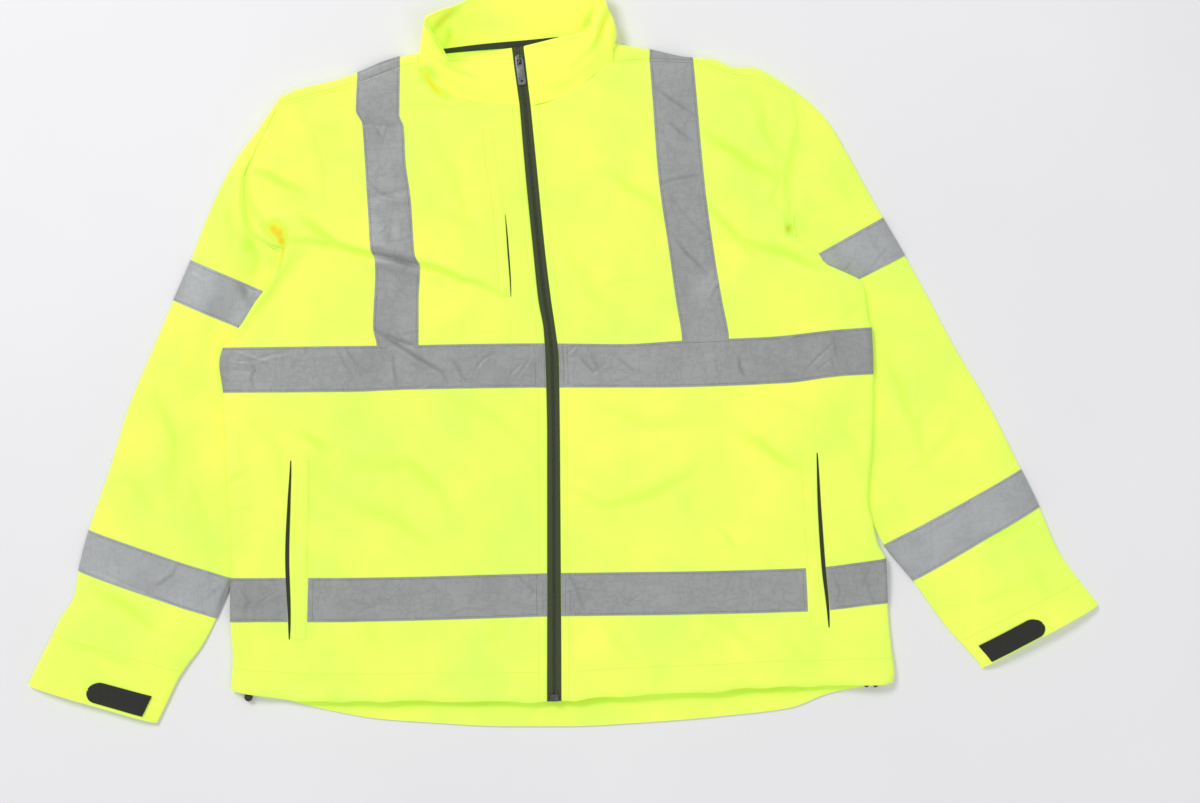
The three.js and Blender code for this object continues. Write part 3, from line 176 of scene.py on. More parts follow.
# Creases: half width and depth in mm (below 0 a trough), how much painted shade they get, then the places it
# runs through
CREASES = [
    [5, -2.4, 0.6, (283, 247), (310, 240), (370, 254), (425, 265), (488, 288), (506, 296)],
    [5, -1.8, 0.25, (247, 197), (254, 212), (264, 224)],
    [6, -3.2, 0.5, (260, 219), (273, 236), (284, 249)],
    [2.5, -1.2, 0.9, (285, 226), (285, 246), (282, 262), (279, 275)],
    [4, -0.9, 0.25, (437, 60), (459, 74), (482, 80)],
    [4, -0.9, 0.2, (604, 17), (601, 39), (595, 51), (582, 62), (568, 72)],
    [3, -0.7, 0.4, (591, 11), (587, 25)],
    [4, -1.0, 0.25, (626, 46), (632, 56), (648, 64)],
    [6, -1.9, 0.38, (252, 170), (275, 179), (306, 192)],
    [6, -1.6, 0.38, (297, 214), (345, 251)],
    [4, -0.9, 0.12, (303, 104), (320, 150), (327, 214)],
    [7, -1.2, 0.2, (250, 130), (246, 165), (246, 198), (252, 232), (268, 290)],
    [8, -1.4, 0.3, (236, 336), (270, 296), (302, 250)],
    [4, -0.9, 0.12, (362, 122), (408, 130)],
    [4, -0.8, 0.12, (366, 199), (410, 192)],
    [4, -1.3, 0.3, (370, 256), (396, 262), (421, 268)],
    [4, -1.2, 0.22, (376, 330), (394, 343), (418, 349)],
    [7, -1.3, 0.3, (300, 430), (330, 453)],
    [9, -1.1, 0.22, (350, 464), (410, 465), (440, 490), (451, 522)],
    [10, -1.1, 0.22, (344, 500), (400, 521), (436, 551)],
    [4, -1.0, 0.22, (226, 484), (247, 470)],
    [4, -0.8, 0.12, (228, 512), (256, 508)],
    [8, -1.1, 0.22, (565, 485), (600, 505), (640, 497), (680, 480), (701, 459)],
    [4, -1.1, 0.22, (719, 528), (737, 552)],
    [7, -1.4, 0.3, (744, 434), (802, 471)],
    [8, -1.1, 0.22, (600, 168), (650, 200), (671, 232)],
    [9, -0.9, 0.12, (560, 238), (590, 290), (621, 322)],
    [8, -1.6, 0.38, (699, 128), (738, 158), (782, 182)],
    [7, -1.3, 0.3, (699, 199), (760, 262)],
    [7, -1.7, 0.38, (719, 234), (772, 250), (832, 271)],
    [6, -0.9, 0.1, (745, 80), (760, 120), (786, 150)],
    [5, -1.2, 0.3, (792, 96), (796, 118), (792, 150), (786, 172), (788, 204), (787, 232)],
    [4, -0.9, 0.2, (772, 160), (780, 182), (771, 200), (780, 215)],
    [5, -1.2, 0.22, (760, 90), (764, 130), (782, 160)],
    [10, -1.1, 0.22, (903, 258), (940, 318), (971, 382)],
    [5, -1.2, 0.22, (866, 497), (888, 489)],
    [6, -1.4, 0.3, (953, 546), (1010, 530), (1043, 514)],
    [4, -1.3, 0.3, (1064, 590), (1080, 581)],
    [7, -1.3, 0.3, (93, 589), (128, 607), (162, 631)],
    [8, -1.0, 0.22, (150, 380), (176, 440), (170, 500)],
    [7, -0.9, 0.12, (186, 470), (212, 540)],
    [9, -1.0, 0.22, (205, 165), (228, 210), (236, 250)],
    [8, -0.9, 0.12, (120, 470), (160, 512)],
    [8, 1.2, 0, (850, 300), (880, 360), (900, 430)],
    [7, -1.0, 0.22, (868, 320), (905, 400), (930, 470)],
    [7, -0.9, 0.12, (960, 420), (930, 460), (905, 470)],
    [9, -0.9, 0.12, (840, 170), (852, 205)],
    [6, -0.9, 0.12, (60, 640), (110, 655), (150, 678)],
    [6, -0.8, 0.12, (1030, 560), (1052, 600)],
    [6, -0.9, 0.12, (980, 600), (1022, 590)],
    [8, -0.8, 0.12, (470, 560), (500, 600), (496, 650)],
    [9, -0.7, 0.12, (360, 610), (390, 660)],
    [7, -0.7, 0.12, (600, 620), (640, 668)],
    [8, -0.8, 0.12, (700, 610), (760, 650)],
    [7, -0.7, 0.12, (780, 640), (820, 668)],
    [8, -0.8, 0.12, (250, 420), (282, 452), (286, 500)],
    [9, -0.9, 0.12, (440, 395), (500, 420), (530, 450)],
    [9, -0.8, 0.12, (590, 400), (650, 425), (720, 420)],
    [7, -0.8, 0.12, (820, 395), (850, 440), (862, 480)],
    [6, -0.9, 0.12, (838, 320), (868, 300)],
    [7, -0.8, 0.12, (430, 130), (455, 180), (470, 250)],
    [8, -0.7, 0.12, (440, 210), (480, 232)],
    [9, 1.0, 0, (330, 300), (352, 332)],
    [5, -1.6, 0.9, (418, 68), (425, 72), (430, 83), (437, 91), (452, 99)],
    [4, -1.2, 0.75, (431, 38), (436, 30), (447, 20), (462, 9)],
    [4, -1.0, 0.7, (444, 47), (447, 40), (449, 28)],
    [4, -1.5, 0.85, (611, 0), (610, 13), (603, 30), (598, 43), (591, 55)],
    [3, -0.8, 0.6, (585, 17), (588, 22), (582, 25)],
    [6, -0.9, 0.12, (410, 108), (450, 106), (495, 110)],
    [5, -0.8, 0.12, (548, 92), (575, 84)],
    [6, -0.8, 0.12, (300, 118), (345, 140)],
    [4, -1.1, 0.22, (428, 713), (432, 722)],
    [4, -1.1, 0.22, (479, 712), (482, 724)],
    [4, -1.0, 0.22, (600, 710), (603, 722)],
    [4, -0.9, 0.2, (606, 62), (622, 63), (648, 59)],
    [4, -0.8, 0.16, (627, 47), (638, 61)],
    [3, -0.4, 0.5, (426, 25), (430, 33), (437, 43), (444, 55), (453, 63)],
    [3, -0.5, 0.45, (236, 578), (214, 620), (170, 690)],
    [3, -0.5, 0.45, (880, 541), (912, 581), (985, 665)],
    [5, -1.2, 0.3, (250, 288), (256, 262), (247, 205)],
    [4, -0.9, 0.25, (372, 252), (392, 259), (421, 267)],
]
# Shaded places: where, how far they reach in mm and how dark
SHADE_SPOTS = [[(276, 230), 9, 1], [(281, 234), 9, 1], [(283, 242), 7, 1], [(440, 47), 7, 0.3],
               [(428, 76), 8, 0.6],
               [(456, 58), 10, 0.35], [(788, 229), 5, 0.9], [(250, 245), 9, 0.4]]
# Creases of the tapes only: half width, height of the ridge beside it, how much painted shade, then its
# places
TAPE_CREASES = [
    [3, 0.9, 1, (377.5, 330), (394, 342), (419, 359), (442, 372), (448, 382)],
    [2, 0.6, 0.5, (340, 351), (350, 370)],
    [2, 0.6, 0.5, (348, 349), (361, 367)],
    [2, 0.7, 0.6, (394, 353), (397.5, 388)],
    [2, 0.7, 0.6, (236, 361), (250, 361), (257, 370), (253, 380), (257, 390)],
    [2.5, 0.6, 0.45, (250, 361), (277, 355), (290, 353)],
    [2.5, 0.7, 0.6, (452, 359), (465, 378), (471, 384)],
    [2.5, 0.7, 0.6, (473, 372), (486, 357), (498, 351)],
    [2, 0.5, 0.4, (469, 382), (482, 363)],
    [2, 0.6, 0.5, (509, 376), (523, 361)],
    [2, 0.6, 0.5, (515, 380), (527, 363), (532, 355)],
    [2, 0.6, 0.5, (567, 355), (575, 347)],
    [2.5, 0.7, 0.6, (577, 355), (594, 372), (605, 363)],
    [2, 0.6, 0.5, (590, 351), (602, 376)],
    [2.5, 0.6, 0.5, (615, 357), (632, 370), (640, 372)],
    [2.5, 0.9, 0.8, (738, 355), (739, 367), (744, 378)],
    [2.5, 0.7, 0.6, (802, 372), (819, 355), (836, 338)],
    [2, 0.6, 0.5, (811, 374), (830, 359), (832, 372)],
    [2, 0.5, 0.4, (832, 334), (836, 361)],
    [2.5, 0.6, 0.5, (515, 575), (535, 590), (527, 600)],
    [2, 0.5, 0.4, (522, 585), (540, 577)],
    [2.5, 0.6, 0.5, (567, 572), (577, 590), (585, 612)],
    [2, 0.5, 0.4, (625, 605), (645, 590)],
    [2, 0.6, 0.5, (240, 585), (250, 602), (245, 612)],
    [2, 0.5, 0.4, (255, 605), (280, 590)],
    [2, 0.6, 0.5, (831, 570), (840, 590), (835, 605)],
    [2, 0.5, 0.4, (860, 590), (870, 565)],
    [2, 0.5, 0.4, (865, 575), (874, 605)],
    [2, 0.6, 0.5, (364, 124), (386, 126), (402, 129)],
    [2, 0.6, 0.5, (377, 129), (382, 138), (386, 142)],
    [2.5, 0.7, 0.6, (371, 185), (380, 193), (402, 201)],
    [3, 0.9, 0.9, (372, 252), (392, 259), (421, 267)],
    [3, 0.9, 0.8, (375, 329), (392, 337), (419, 348)],
    [2.5, 0.4, 0.3, (392, 281), (411, 299)],
    [1.5, 0.3, 0.6, (353, 74), (394, 60)],
    [1.5, 0.3, 0.5, (360, 82), (400, 68)],
    [2.5, 0.7, 0.6, (654, 88), (674, 104), (696, 117)],
    [2.5, 0.7, 0.6, (667, 120), (681, 134), (696, 146)],
    [2.5, 0.7, 0.6, (659, 185), (681, 179), (702, 174)],
    [2.5, 0.4, 0.3, (668, 193), (684, 215), (709, 240)],
    [2.5, 0.7, 0.6, (674, 237), (687, 256), (706, 273)],
    [3, 0.9, 0.5, (242, 280), (254, 290), (251, 305), (242, 310)],
    [6, 0.5, 0.9, (236, 282), (246, 293), (249, 306)],
    [2.5, 0.5, 0.3, (150, 232), (175, 262), (210, 280)],
    [2.5, 0.7, 0.6, (181, 561), (172, 575), (155, 588)],
    [2, 0.5, 0.5, (222, 583), (204, 601)],
    [3, 0.7, 0.9, (229, 579), (216, 613)],
    [2, 0.6, 0.5, (842, 273), (853, 261)],
    [2, 0.6, 0.6, (870, 269), (888, 246)],
    [2.5, 0.5, 0.3, (862, 222), (885, 262), (903, 250)],
    [2.5, 0.5, 0.3, (905, 545), (950, 520), (985, 480)],
    [2.5, 0.5, 0.3, (88, 566), (140, 588), (190, 612)],
]


# Lines and grids
def mix(a, b, t):
    return a + (b - a) * t


def smooth(t):
    t = np.clip(t, 0, 1)
    return t * t * (3 - 2 * t)


def tangents(slopes):
    """Slopes at the places of a table that keep a line from swinging past them."""
    before, after = slopes[:-1], slopes[1:]
    total = np.where(np.abs(before + after) < 1e-12, 1, before + after)
    middle = np.where(before * after <= 0, 0, 2 * before * after / total)
    return np.concatenate([slopes[:1], middle, slopes[-1:]])


def hermite(a, b, ta, tb, step, t):
    t2, t3 = t * t, t * t * t
    return ((2 * t3 - 3 * t2 + 1) * a + (t3 - 2 * t2 + t) * step * ta
            + (3 * t2 - 2 * t3) * b + (t3 - t2) * step * tb)


def through(table):
    rows = np.array(sorted(table), float)
    x, y = rows[:, 0], rows[:, 1]
    slope = tangents(np.diff(y) / np.diff(x))

    def line(at):
        at = np.clip(at, x[0], x[-1])
        k = np.clip(np.searchsorted(x, at, side="right") - 1, 0, len(x) - 2)
        step = x[k + 1] - x[k]
        return hermite(y[k], y[k + 1], slope[k], slope[k + 1], step, (at - x[k]) / step)

    return line


def between(f, g, t):
    return lambda at: mix(f(at), g(at), t)


def moved(f, by):
    return lambda at: f(at) + by


across = {name: through(table) for name, table in ACROSS.items()}
up = {name: through(table) for name, table in UP.items()}

LEFT_UP = [
    up["left_side"], moved(up["left_side"], EDGE_ROLL), moved(up["left_side"], EDGE_FLAT),
    between(up["left_side"], up["left_slit"], 0.55), moved(up["left_slit"], -POCKET_OPENING / 2),
    moved(up["left_slit"], POCKET_OPENING / 2), up["left_welt"],
    between(up["left_welt"], up["left_brace_out"], 0.5), up["left_brace_out"], up["left_brace_in"],
    *[between(up["left_brace_in"], up["left_pocket"], t) for t in (0.23, 0.45, 0.68)],
    moved(up["left_pocket"], -CHEST_WELT), up["left_pocket"],
    between(up["left_pocket"], up["left_zip"], 0.5), up["left_zip"]]
RIGHT_UP = [
    up["right_zip"],
    *[between(up["right_zip"], up["right_brace_in"], t) for t in (0.25, 0.42, 0.57, 0.7, 0.85)],
    up["right_brace_in"], up["right_brace_out"],
    between(up["right_brace_out"], up["right_welt"], 0.5), up["right_welt"],
    moved(up["right_slit"], -POCKET_OPENING / 2), moved(up["right_slit"], POCKET_OPENING / 2),
    between(up["right_slit"], up["right_side"], 0.45), moved(up["right_side"], -EDGE_FLAT),
    moved(up["right_side"], -EDGE_ROLL), up["right_side"]]
STEPS_TO_TOP = [0.1, 0.2, 0.3, 0.4, 0.49, 0.58, 0.68, 0.79, 0.9, 1]
TOP, CHEST_HIGH, CHEST_LOW, BAND_HIGH, BAND_LOW, WELT_HIGH, WELT_LOW = 23, 13, 12, 6, 4, 10, 3
ARM_ROW = CHEST_HIGH + 5
YOKE_ROW, FOLD_ROW, OVER_ROW, SEAM_ROW = 23, 24, 25, 26
MIDDLE = len(LEFT_UP) - 1
LEFT_NECK, RIGHT_NECK = 10, MIDDLE + 4


def rows_across(hem, top):
    band_low, band_high = across["hem_band_low"], across["hem_band_high"]
    return [hem, moved(hem, 12), between(hem, across["welt_low"], 0.6), across["welt_low"],
            band_low, between(band_low, band_high, 0.5), band_high,
            *[between(band_high, across["welt_high"], t) for t in (0.25, 0.5, 0.75)],
            across["welt_high"], between(across["welt_high"], across["chest_band_low"], 0.5),
            across["chest_band_low"], across["chest_band_high"],
            *[between(across["chest_band_high"], top, t) for t in STEPS_TO_TOP]]


FRONT_ACROSS = rows_across(across["hem"], across["front_top"])
BACK_UP = [*LEFT_UP[:-1], between(up["left_zip"], up["right_zip"], 0.5), *RIGHT_UP[1:]]
BACK_ACROSS = [*rows_across(across["back_hem"], moved(across["outline"], -FOLD_ROLL)),
               across["outline"]]


def meet(ups, rows, us, vs):
    """Where lines up the jacket meet lines across it, at fractions between the lines too."""
    us, vs = np.asarray(us, float), np.asarray(vs, float)
    k = np.clip(np.floor(us).astype(int), 0, len(ups) - 2)
    m = np.clip(np.floor(vs).astype(int), 0, len(rows) - 2)
    x = np.zeros((len(vs), len(us)))
    y = np.zeros_like(x)
    for turn in range(36):
        for part in np.unique(k):
            c = k == part
            f = us[c] - part
            target = mix(ups[part](y[:, c]), ups[part + 1](y[:, c]), f)
            x[:, c] = target if turn == 0 else mix(x[:, c], target, 0.6)
        for part in np.unique(m):
            r = m == part
            g = (vs[r] - part)[:, None]
            y[r] = mix(rows[part](x[r]), rows[part + 1](x[r]), g)
    return x, y


def fine_steps(widths, step, most=60):
    """Fractional line numbers, with steps of about one size in mm."""
    parts = [np.array([0.0])]
    for k, width in enumerate(widths):
        n = int(np.clip(round(width / step), 1, most))
        parts.append(k + np.arange(1, n + 1) / n)
    return np.concatenate(parts)


# Heights
def inside_by(outline, x, y):
    nearest = np.full(np.shape(x), 1e9)
    inside = np.zeros(np.shape(x), bool)
    for k, (bx, by) in enumerate(outline):
        ax, ay = outline[k - 1]
        dx, dy = bx - ax, by - ay
        t = np.clip(((x - ax) * dx + (y - ay) * dy) / (dx * dx + dy * dy), 0, 1)
        nearest = np.minimum(nearest, np.hypot(x - ax - t * dx, y - ay - t * dy))
        if dy:
            inside ^= ((ay > y) != (by > y)) & (x < dx * (y - ay) / dy + ax)
    return np.where(inside, nearest, -nearest)


def corner(ups, rows, u, v):
    x, y = meet(ups, rows, [u], [v])
    return float(x[0, 0]), float(y[0, 0])


LEFT_ARM = corner(LEFT_UP, FRONT_ACROSS, 0, ARM_ROW - 1)
RIGHT_ARM = corner(RIGHT_UP, FRONT_ACROSS, len(RIGHT_UP) - 1, ARM_ROW - 1)


def tucked(arm, underarm, sections):
    outer = [row[:2] for row in reversed(sections) if row[1] < arm[1] - LIFT_FALL]
    return [arm, underarm, *[row[2:] for row in sections], *outer]


LEFT_TUCK = tucked(LEFT_ARM, LEFT_UNDERARM, LEFT_SLEEVE)
RIGHT_TUCK = tucked(RIGHT_ARM, RIGHT_UNDERARM, RIGHT_SLEEVE)


def back_height(x, y):
    cover = [smooth(1 + (inside_by(tuck, x, y) + LIFT_MARGIN) / LIFT_FALL)
             for tuck in (LEFT_TUCK, RIGHT_TUCK)]
    return FLOOR_GAP + BODY_LIFT * np.maximum(*cover)


def fold_height(x, y):
    total = np.zeros(np.shape(x))
    for x0, y0, x1, y1, wide, high in FOLDS:
        dx, dy = x1 - x0, y1 - y0
        t = ((x - x0) * dx + (y - y0) * dy) / (dx * dx + dy * dy)
        off = ((x - x0) * dy - (y - y0) * dx) / math.hypot(dx, dy)
        total += high * smooth((t + 0.15) / 0.4) * smooth((1.15 - t) / 0.4) * np.exp(-((off / wide) ** 2))
    return total


def puff(x, y):
    left = x < up["left_zip"](y)
    side = np.where(left, up["left_side"](y), up["right_side"](y))
    zip_x = np.where(left, up["left_zip"](y), up["right_zip"](y))
    u = np.clip((x - side) / (zip_x - side), 0, 1)
    v = np.clip((y - across["hem"](x)) / (across["front_top"](x) - across["hem"](x)), 0, 1)
    return CHEST_PUFF * np.sin(np.pi * u) ** 0.8 * np.sin(np.pi * v) ** 0.5


def front_height(x, y):
    shoulder = SHOULDER_RISE * smooth(1 + (y - across["front_top"](x)) / SHOULDER_REACH)
    middle = smooth((350 - np.abs(x + 8)) / 160)
    hem = HEM_RISE * middle * smooth(1 - (y - across["hem"](x)) / HEM_REACH)
    lock = np.maximum(*[6 * np.exp(-(((x - lx) ** 2 + (y - ly) ** 2) / 34 ** 2))
                        for lx, ly in ((-357.5, -386.3), (350.5, -372))])
    return back_height(x, y) + BODY_STACK + puff(x, y) + shoulder + hem + lock + fold_height(x, y)


rng = np.random.default_rng(9389)
SWELLS = [(rng.uniform(0.02, 0.075), rng.uniform(0, math.pi), rng.uniform(0, 6.28), rng.uniform(0.12, 0.34))
          for _ in range(16)]


def small_creases(count, wide, high, dark):
    """Short soft creases that cloth keeps from being folded and worn, at seeded places, with a little painted
    shade in each.
    """
    rows = []
    for _ in range(count):
        x, y = rng.uniform(40, 1090), rng.uniform(20, 715)
        turn = rng.uniform(0, math.pi)
        length = rng.uniform(14, 60)
        bend = rng.uniform(-0.5, 0.5)
        points = [(x + length * s * math.cos(turn + bend * s), y + length * s * math.sin(turn + bend * s))
                  for s in (-0.5, 0, 0.5)]
        rows.append([rng.uniform(*wide), rng.uniform(*high), rng.uniform(0, dark), *points])
    return rows


SMALL = small_creases(230, (2.5, 6), (-0.6, 0.35), 0.08)
SMALL_ON_TAPE = small_creases(300, (1, 2.2), (0.1, 0.45), 0.22)


def pressed(x, y, table, on_tape=False):
    """Height of a table's creases, and the painted shade at each point, from 0 to 1."""
    height = np.zeros(np.shape(x))
    painted_shade = np.zeros(np.shape(x))
    wobble = 1.2 * np.sin(x / 9.0 + 2 * np.sin(y / 23.0)) + 1.0 * np.sin(y / 7.0 + x / 31.0)
    for wide, depth, dark, *places in table:
        points = [photo(*p) for p in places]
        xs, ys = [p[0] for p in points], [p[1] for p in points]
        reach = 4 * wide + 6
        near = ((x > min(xs) - reach) & (x < max(xs) + reach) & (y > min(ys) - reach) & (y < max(ys) + reach))
        if not near.any():
            continue
        px, py, pw = x[near], y[near], wobble[near]
        lengths = [math.dist(a, b) for a, b in zip(points, points[1:])]
        total = sum(lengths)
        best = np.full(px.shape, 1e9)
        side = np.zeros(px.shape)
        along = np.zeros(px.shape)
        gone = 0.0
        for (ax, ay), (bx, by), length in zip(points, points[1:], lengths):
            dx, dy = bx - ax, by - ay
            t = np.clip(((px - ax) * dx + (py - ay) * dy) / (length * length), 0, 1)
            off = np.hypot(px - ax - t * dx, py - ay - t * dy)
            nearer = off < best
            best = np.where(nearer, off, best)
            side = np.where(nearer, np.sign((px - ax) * dy - (py - ay) * dx), side)
            along = np.where(nearer, (gone + t * length) / total, along)
            gone += length
        d = best * side + pw * min(1, wide / 6)
        taper = np.sin(np.pi * np.clip(along, 0.02, 0.98)) ** 0.6
        line = np.exp(-((d / wide) ** 2)) * taper
        if on_tape:
            lip = np.exp(-(((d - 1.5 * wide) / wide) ** 2)) * taper
            height[near] += depth * lip - min(0.24, 0.4 * depth) * line
        else:
            lip = np.exp(-(((d - 2.1 * wide) / (1.5 * wide)) ** 2)) * taper
            height[near] += depth * line - 0.45 * depth * lip
        shade = dark * np.exp(-((d / (0.8 * wide)) ** 2)) * taper
        painted_shade[near] = np.maximum(painted_shade[near], shade)
    if on_tape:
        height = np.clip(height, -0.24, 1.1)
    return height, painted_shade


def creases(x, y):
    """Height of the creases and soft swells of the cloth, and the painted shade at each point from the
    creases and the shaded places.
    """
    height, painted_shade = pressed(x, y, CREASES + SMALL)
    for speed, turn, start, high in SWELLS:
        height += high * np.sin(speed * (x * math.cos(turn) + y * math.sin(turn)) + start)
    for place, wide, dark in SHADE_SPOTS:
        sx, sy = photo(*place)
        painted_shade = np.maximum(painted_shade, dark * np.exp(-(((x - sx) ** 2 + (y - sy) ** 2) / wide ** 2)))
    return height, painted_shade


# Surfaces
class Grid:
    """A fine grid of points on a surface, at fractional line numbers."""

    def __init__(self, us, vs, points, facing, painted_shade=None, around=False):
        self.us, self.vs, self.p, self.around = np.asarray(us), np.asarray(vs), points, around
        if around:
            padded = np.concatenate([points[:, -1:], points, points[:, :1]], axis=1)
            du = (padded[:, 2:] - padded[:, :-2]) / 2
        else:
            du = np.gradient(points, axis=1)
        dv = np.gradient(points, axis=0)
        normal = np.cross(du, dv)
        normal /= np.maximum(np.linalg.norm(normal, axis=2, keepdims=True), 1e-9)
        self.n = normal * facing
        self.painted_shade = np.zeros(points.shape[:2]) if painted_shade is None else painted_shade

    def _cells(self, lines, at):
        k = np.clip(np.searchsorted(lines, at, side="right") - 1, 0, len(lines) - 2)
        return k, (at - lines[k]) / (lines[k + 1] - lines[k])

    def at(self, u, v, field=None):
        """Points (or another field) on the grid's own facets."""
        field = self.p if field is None else field
        u, v = np.broadcast_arrays(np.asarray(u, float), np.asarray(v, float))
        us = self.us
        if self.around:
            us = np.append(us, self.count)
            field = np.concatenate([field, field[:, :1]], axis=1)
        k, f = self._cells(us, u)
        m, g = self._cells(self.vs, v)
        shape = f.shape + (1,) * (field.ndim - 2)
        f, g = f.reshape(shape), g.reshape(shape)
        low = mix(field[m, k], field[m, k + 1], f)
        return mix(low, mix(field[m + 1, k], field[m + 1, k + 1], f), g)

    def on(self, u, v, lift):
        return self.at(u, v) + self.at(u, v, self.n) * lift


def put(name, vertices, faces, material, painted_shade=None, smooth_angle=48):
    mesh = bpy.data.meshes.new(name)
    faces = faces if isinstance(faces, list) else faces.tolist()
    mesh.from_pydata((np.asarray(vertices) * MM).tolist(), [], faces)
    mesh.update()
    if painted_shade is not None:
        # point attribute that carries the painted shade of folds, creases and shaded places into the cloth's
        # colour
        attribute = mesh.attributes.new("painted_shade_attribute", "FLOAT", "POINT")
        attribute.data.foreach_set("value", np.asarray(painted_shade, np.float32))
    mesh.shade_smooth()
    mesh.set_sharp_from_angle(angle=math.radians(smooth_angle))
    mesh.materials.append(material)
    obj = bpy.data.objects.new(name, mesh)
    bpy.context.scene.collection.objects.link(obj)
    return obj


def wall(grid, outer, inner, has=None):
    """Vertices and faces of a closed wall on a grid, and the painted shade of folds and creases at each
    vertex.
    """
    rows, columns = grid.p.shape[:2]
    cells = columns if grid.around else columns - 1
    present = np.ones((rows - 1, cells), bool) if has is None else has
    number = np.arange(rows * columns).reshape(rows, columns)
    if grid.around:
        number = np.concatenate([number, number[:, :1]], axis=1)
    a, b, c, d = number[:-1, :-1], number[:-1, 1:], number[1:, 1:], number[1:, :-1]
    shift = rows * columns
    faces = [np.stack([a, b, c, d], -1)[present], np.stack([d, c, b, a], -1)[present] + shift]
    padded = np.pad(present, 1)
    if grid.around:
        padded[1:-1, 0], padded[1:-1, -1] = present[:, -1], present[:, 0]
    sides = [(padded[:-2, 1:-1], a, b), (padded[1:-1, 2:], b, c),
             (padded[2:, 1:-1], c, d), (padded[1:-1, :-2], d, a)]
    for other, p, q in sides:
        edge = present & ~other
        p, q = p[edge], q[edge]
        faces.append(np.stack([q, p, p + shift, q + shift], -1))
    faces = np.concatenate(faces)
    vertices = np.concatenate([(grid.p + grid.n * off).reshape(-1, 3) for off in (outer, inner)])
    painted_shade = np.tile(grid.painted_shade.reshape(-1), 2)
    used, faces = np.unique(faces, return_inverse=True)
    faces = faces.reshape(-1, 4)
    vertices, painted_shade = vertices[used], painted_shade[used]
    p = vertices[faces[:, 0]]
    volume = (p * np.cross(vertices[faces[:, 1]], vertices[faces[:, 2]])).sum() + (
        p * np.cross(vertices[faces[:, 2]], vertices[faces[:, 3]])).sum()
    if volume < 0:
        faces = faces[:, ::-1]
    return vertices, faces, painted_shade


def finer(lines, times):
    """Line numbers with more between them."""
    parts = [a + (b - a) * np.arange(times) / times for a, b in zip(lines, lines[1:])]
    return np.concatenate([*parts, lines[-1:]])


def strip(grid, columns, rows, inset=(0, 0, 0, 0), times=1):
    """Part of a grid, drawn in by shares of a line's spacing at its left, right, low and high side."""
    def part(lines, low, high, first, last):
        inner = lines[(lines > low + first + 1e-6) & (lines < high - last - 1e-6)]
        return np.concatenate([[low + first], inner, [high - last]])
    whole = grid.around and columns is None
    us = grid.us if whole else part(grid.us, columns[0], columns[1], inset[0], inset[1])
    vs = part(grid.vs, rows[0], rows[1], inset[2], inset[3])
    if times > 1:
        us, vs = us if whole else finer(us, times), finer(vs, times)
    u, v = np.meshgrid(us, vs)
    piece = Grid.__new__(Grid)
    piece.us, piece.vs, piece.around = us, vs, whole
    piece.p, piece.n, piece.painted_shade = grid.at(u, v), grid.at(u, v, grid.n), grid.at(u, v, grid.painted_shade)
    if whole:
        piece.count = grid.count
    return piece


def rolled(distance, reach):
    """Share of the way down that an edge has rolled, at a distance in from it."""
    e = np.clip(distance / reach, 0, 1)
    return 1 - np.sqrt(np.clip(1 - (1 - e) ** 2, 0, 1))


def line_widths(ups, rows):
    x, y = meet(ups, rows, np.arange(len(ups)), np.arange(len(rows)))
    across_mm = np.hypot(np.diff(x, axis=1), np.diff(y, axis=1)).mean(0)
    up_mm = np.hypot(np.diff(x, axis=0), np.diff(y, axis=0)).mean(1)
    return across_mm, up_mm


def front_grid(ups, left, step):
    wide, tall = line_widths(ups, FRONT_ACROSS)
    us, vs = fine_steps(np.maximum(wide, step * 2.6 * (wide < 8)), step), fine_steps(tall, step)
    x, y = meet(ups, FRONT_ACROSS, us, vs)
    side_line, zip_line = (up["left_side"], up["left_zip"]) if left else (up["right_side"], up["right_zip"])
    from_side, from_zip = np.abs(x - side_line(y)), np.abs(x - zip_line(y))
    jog = np.exp(-(((vs - JOG_ROW) / 0.5) ** 2))[:, None] * np.exp(-((from_side / 16) ** 2))
    x = x + (-1 if left else 1) * JOG_OUT * jog
    calm = smooth(from_side / 14) * smooth(from_zip / 16)
    y = y - calm * np.clip(1 - vs, 0, 1)[:, None] * (np.sin(x / 11 + 1.7 * np.sin(x / 37)) + 0.5)
    flat = front_height(x, y)
    wrinkle, painted_shade = creases(x, y)
    z = flat + wrinkle * mix(0.35, 1, calm)
    middle = (back_height(x, y) + flat) / 2 + SEAM / 2
    roll = np.clip(ARM_ROW - vs, 0, 1)[:, None]
    z -= roll * (z - middle) * rolled(from_side, EDGE_FLAT)
    not_side = 1 - roll * rolled(from_side, EDGE_FLAT)
    z -= 0.9 * rolled(from_zip, 2.5) + 1.3 * rolled(y - across["hem"](x), 4) * not_side
    z += 0.55 * np.exp(-(((from_zip - 2.6) / 2.2) ** 2)) - 0.45 * np.exp(-(((from_zip - 6.0) / 1.2) ** 2))
    hem_up = y - across["hem"](x)
    z += 0.35 * np.exp(-(((hem_up - 9) / 6) ** 2)) - 0.35 * np.exp(-(((hem_up - 20) / 1.6) ** 2))
    z += 1.1 * calm * (1 + np.sin(x / 17 + 2 * np.sin(x / 41))) * np.exp(-((hem_up / 15) ** 2))
    z -= 0.15 * rolled(across["front_top"](x) - y, 2.5)
    z -= 0.9 * jog * smooth(1 - from_side / 10) * (z - JOG_LOW)
    return Grid(us, vs, np.stack([x, y, z - FLOOR_SHIFT], -1), 1, painted_shade)


left_front = front_grid(LEFT_UP, True, 2.6)
right_front = front_grid(RIGHT_UP, False, 2.6)


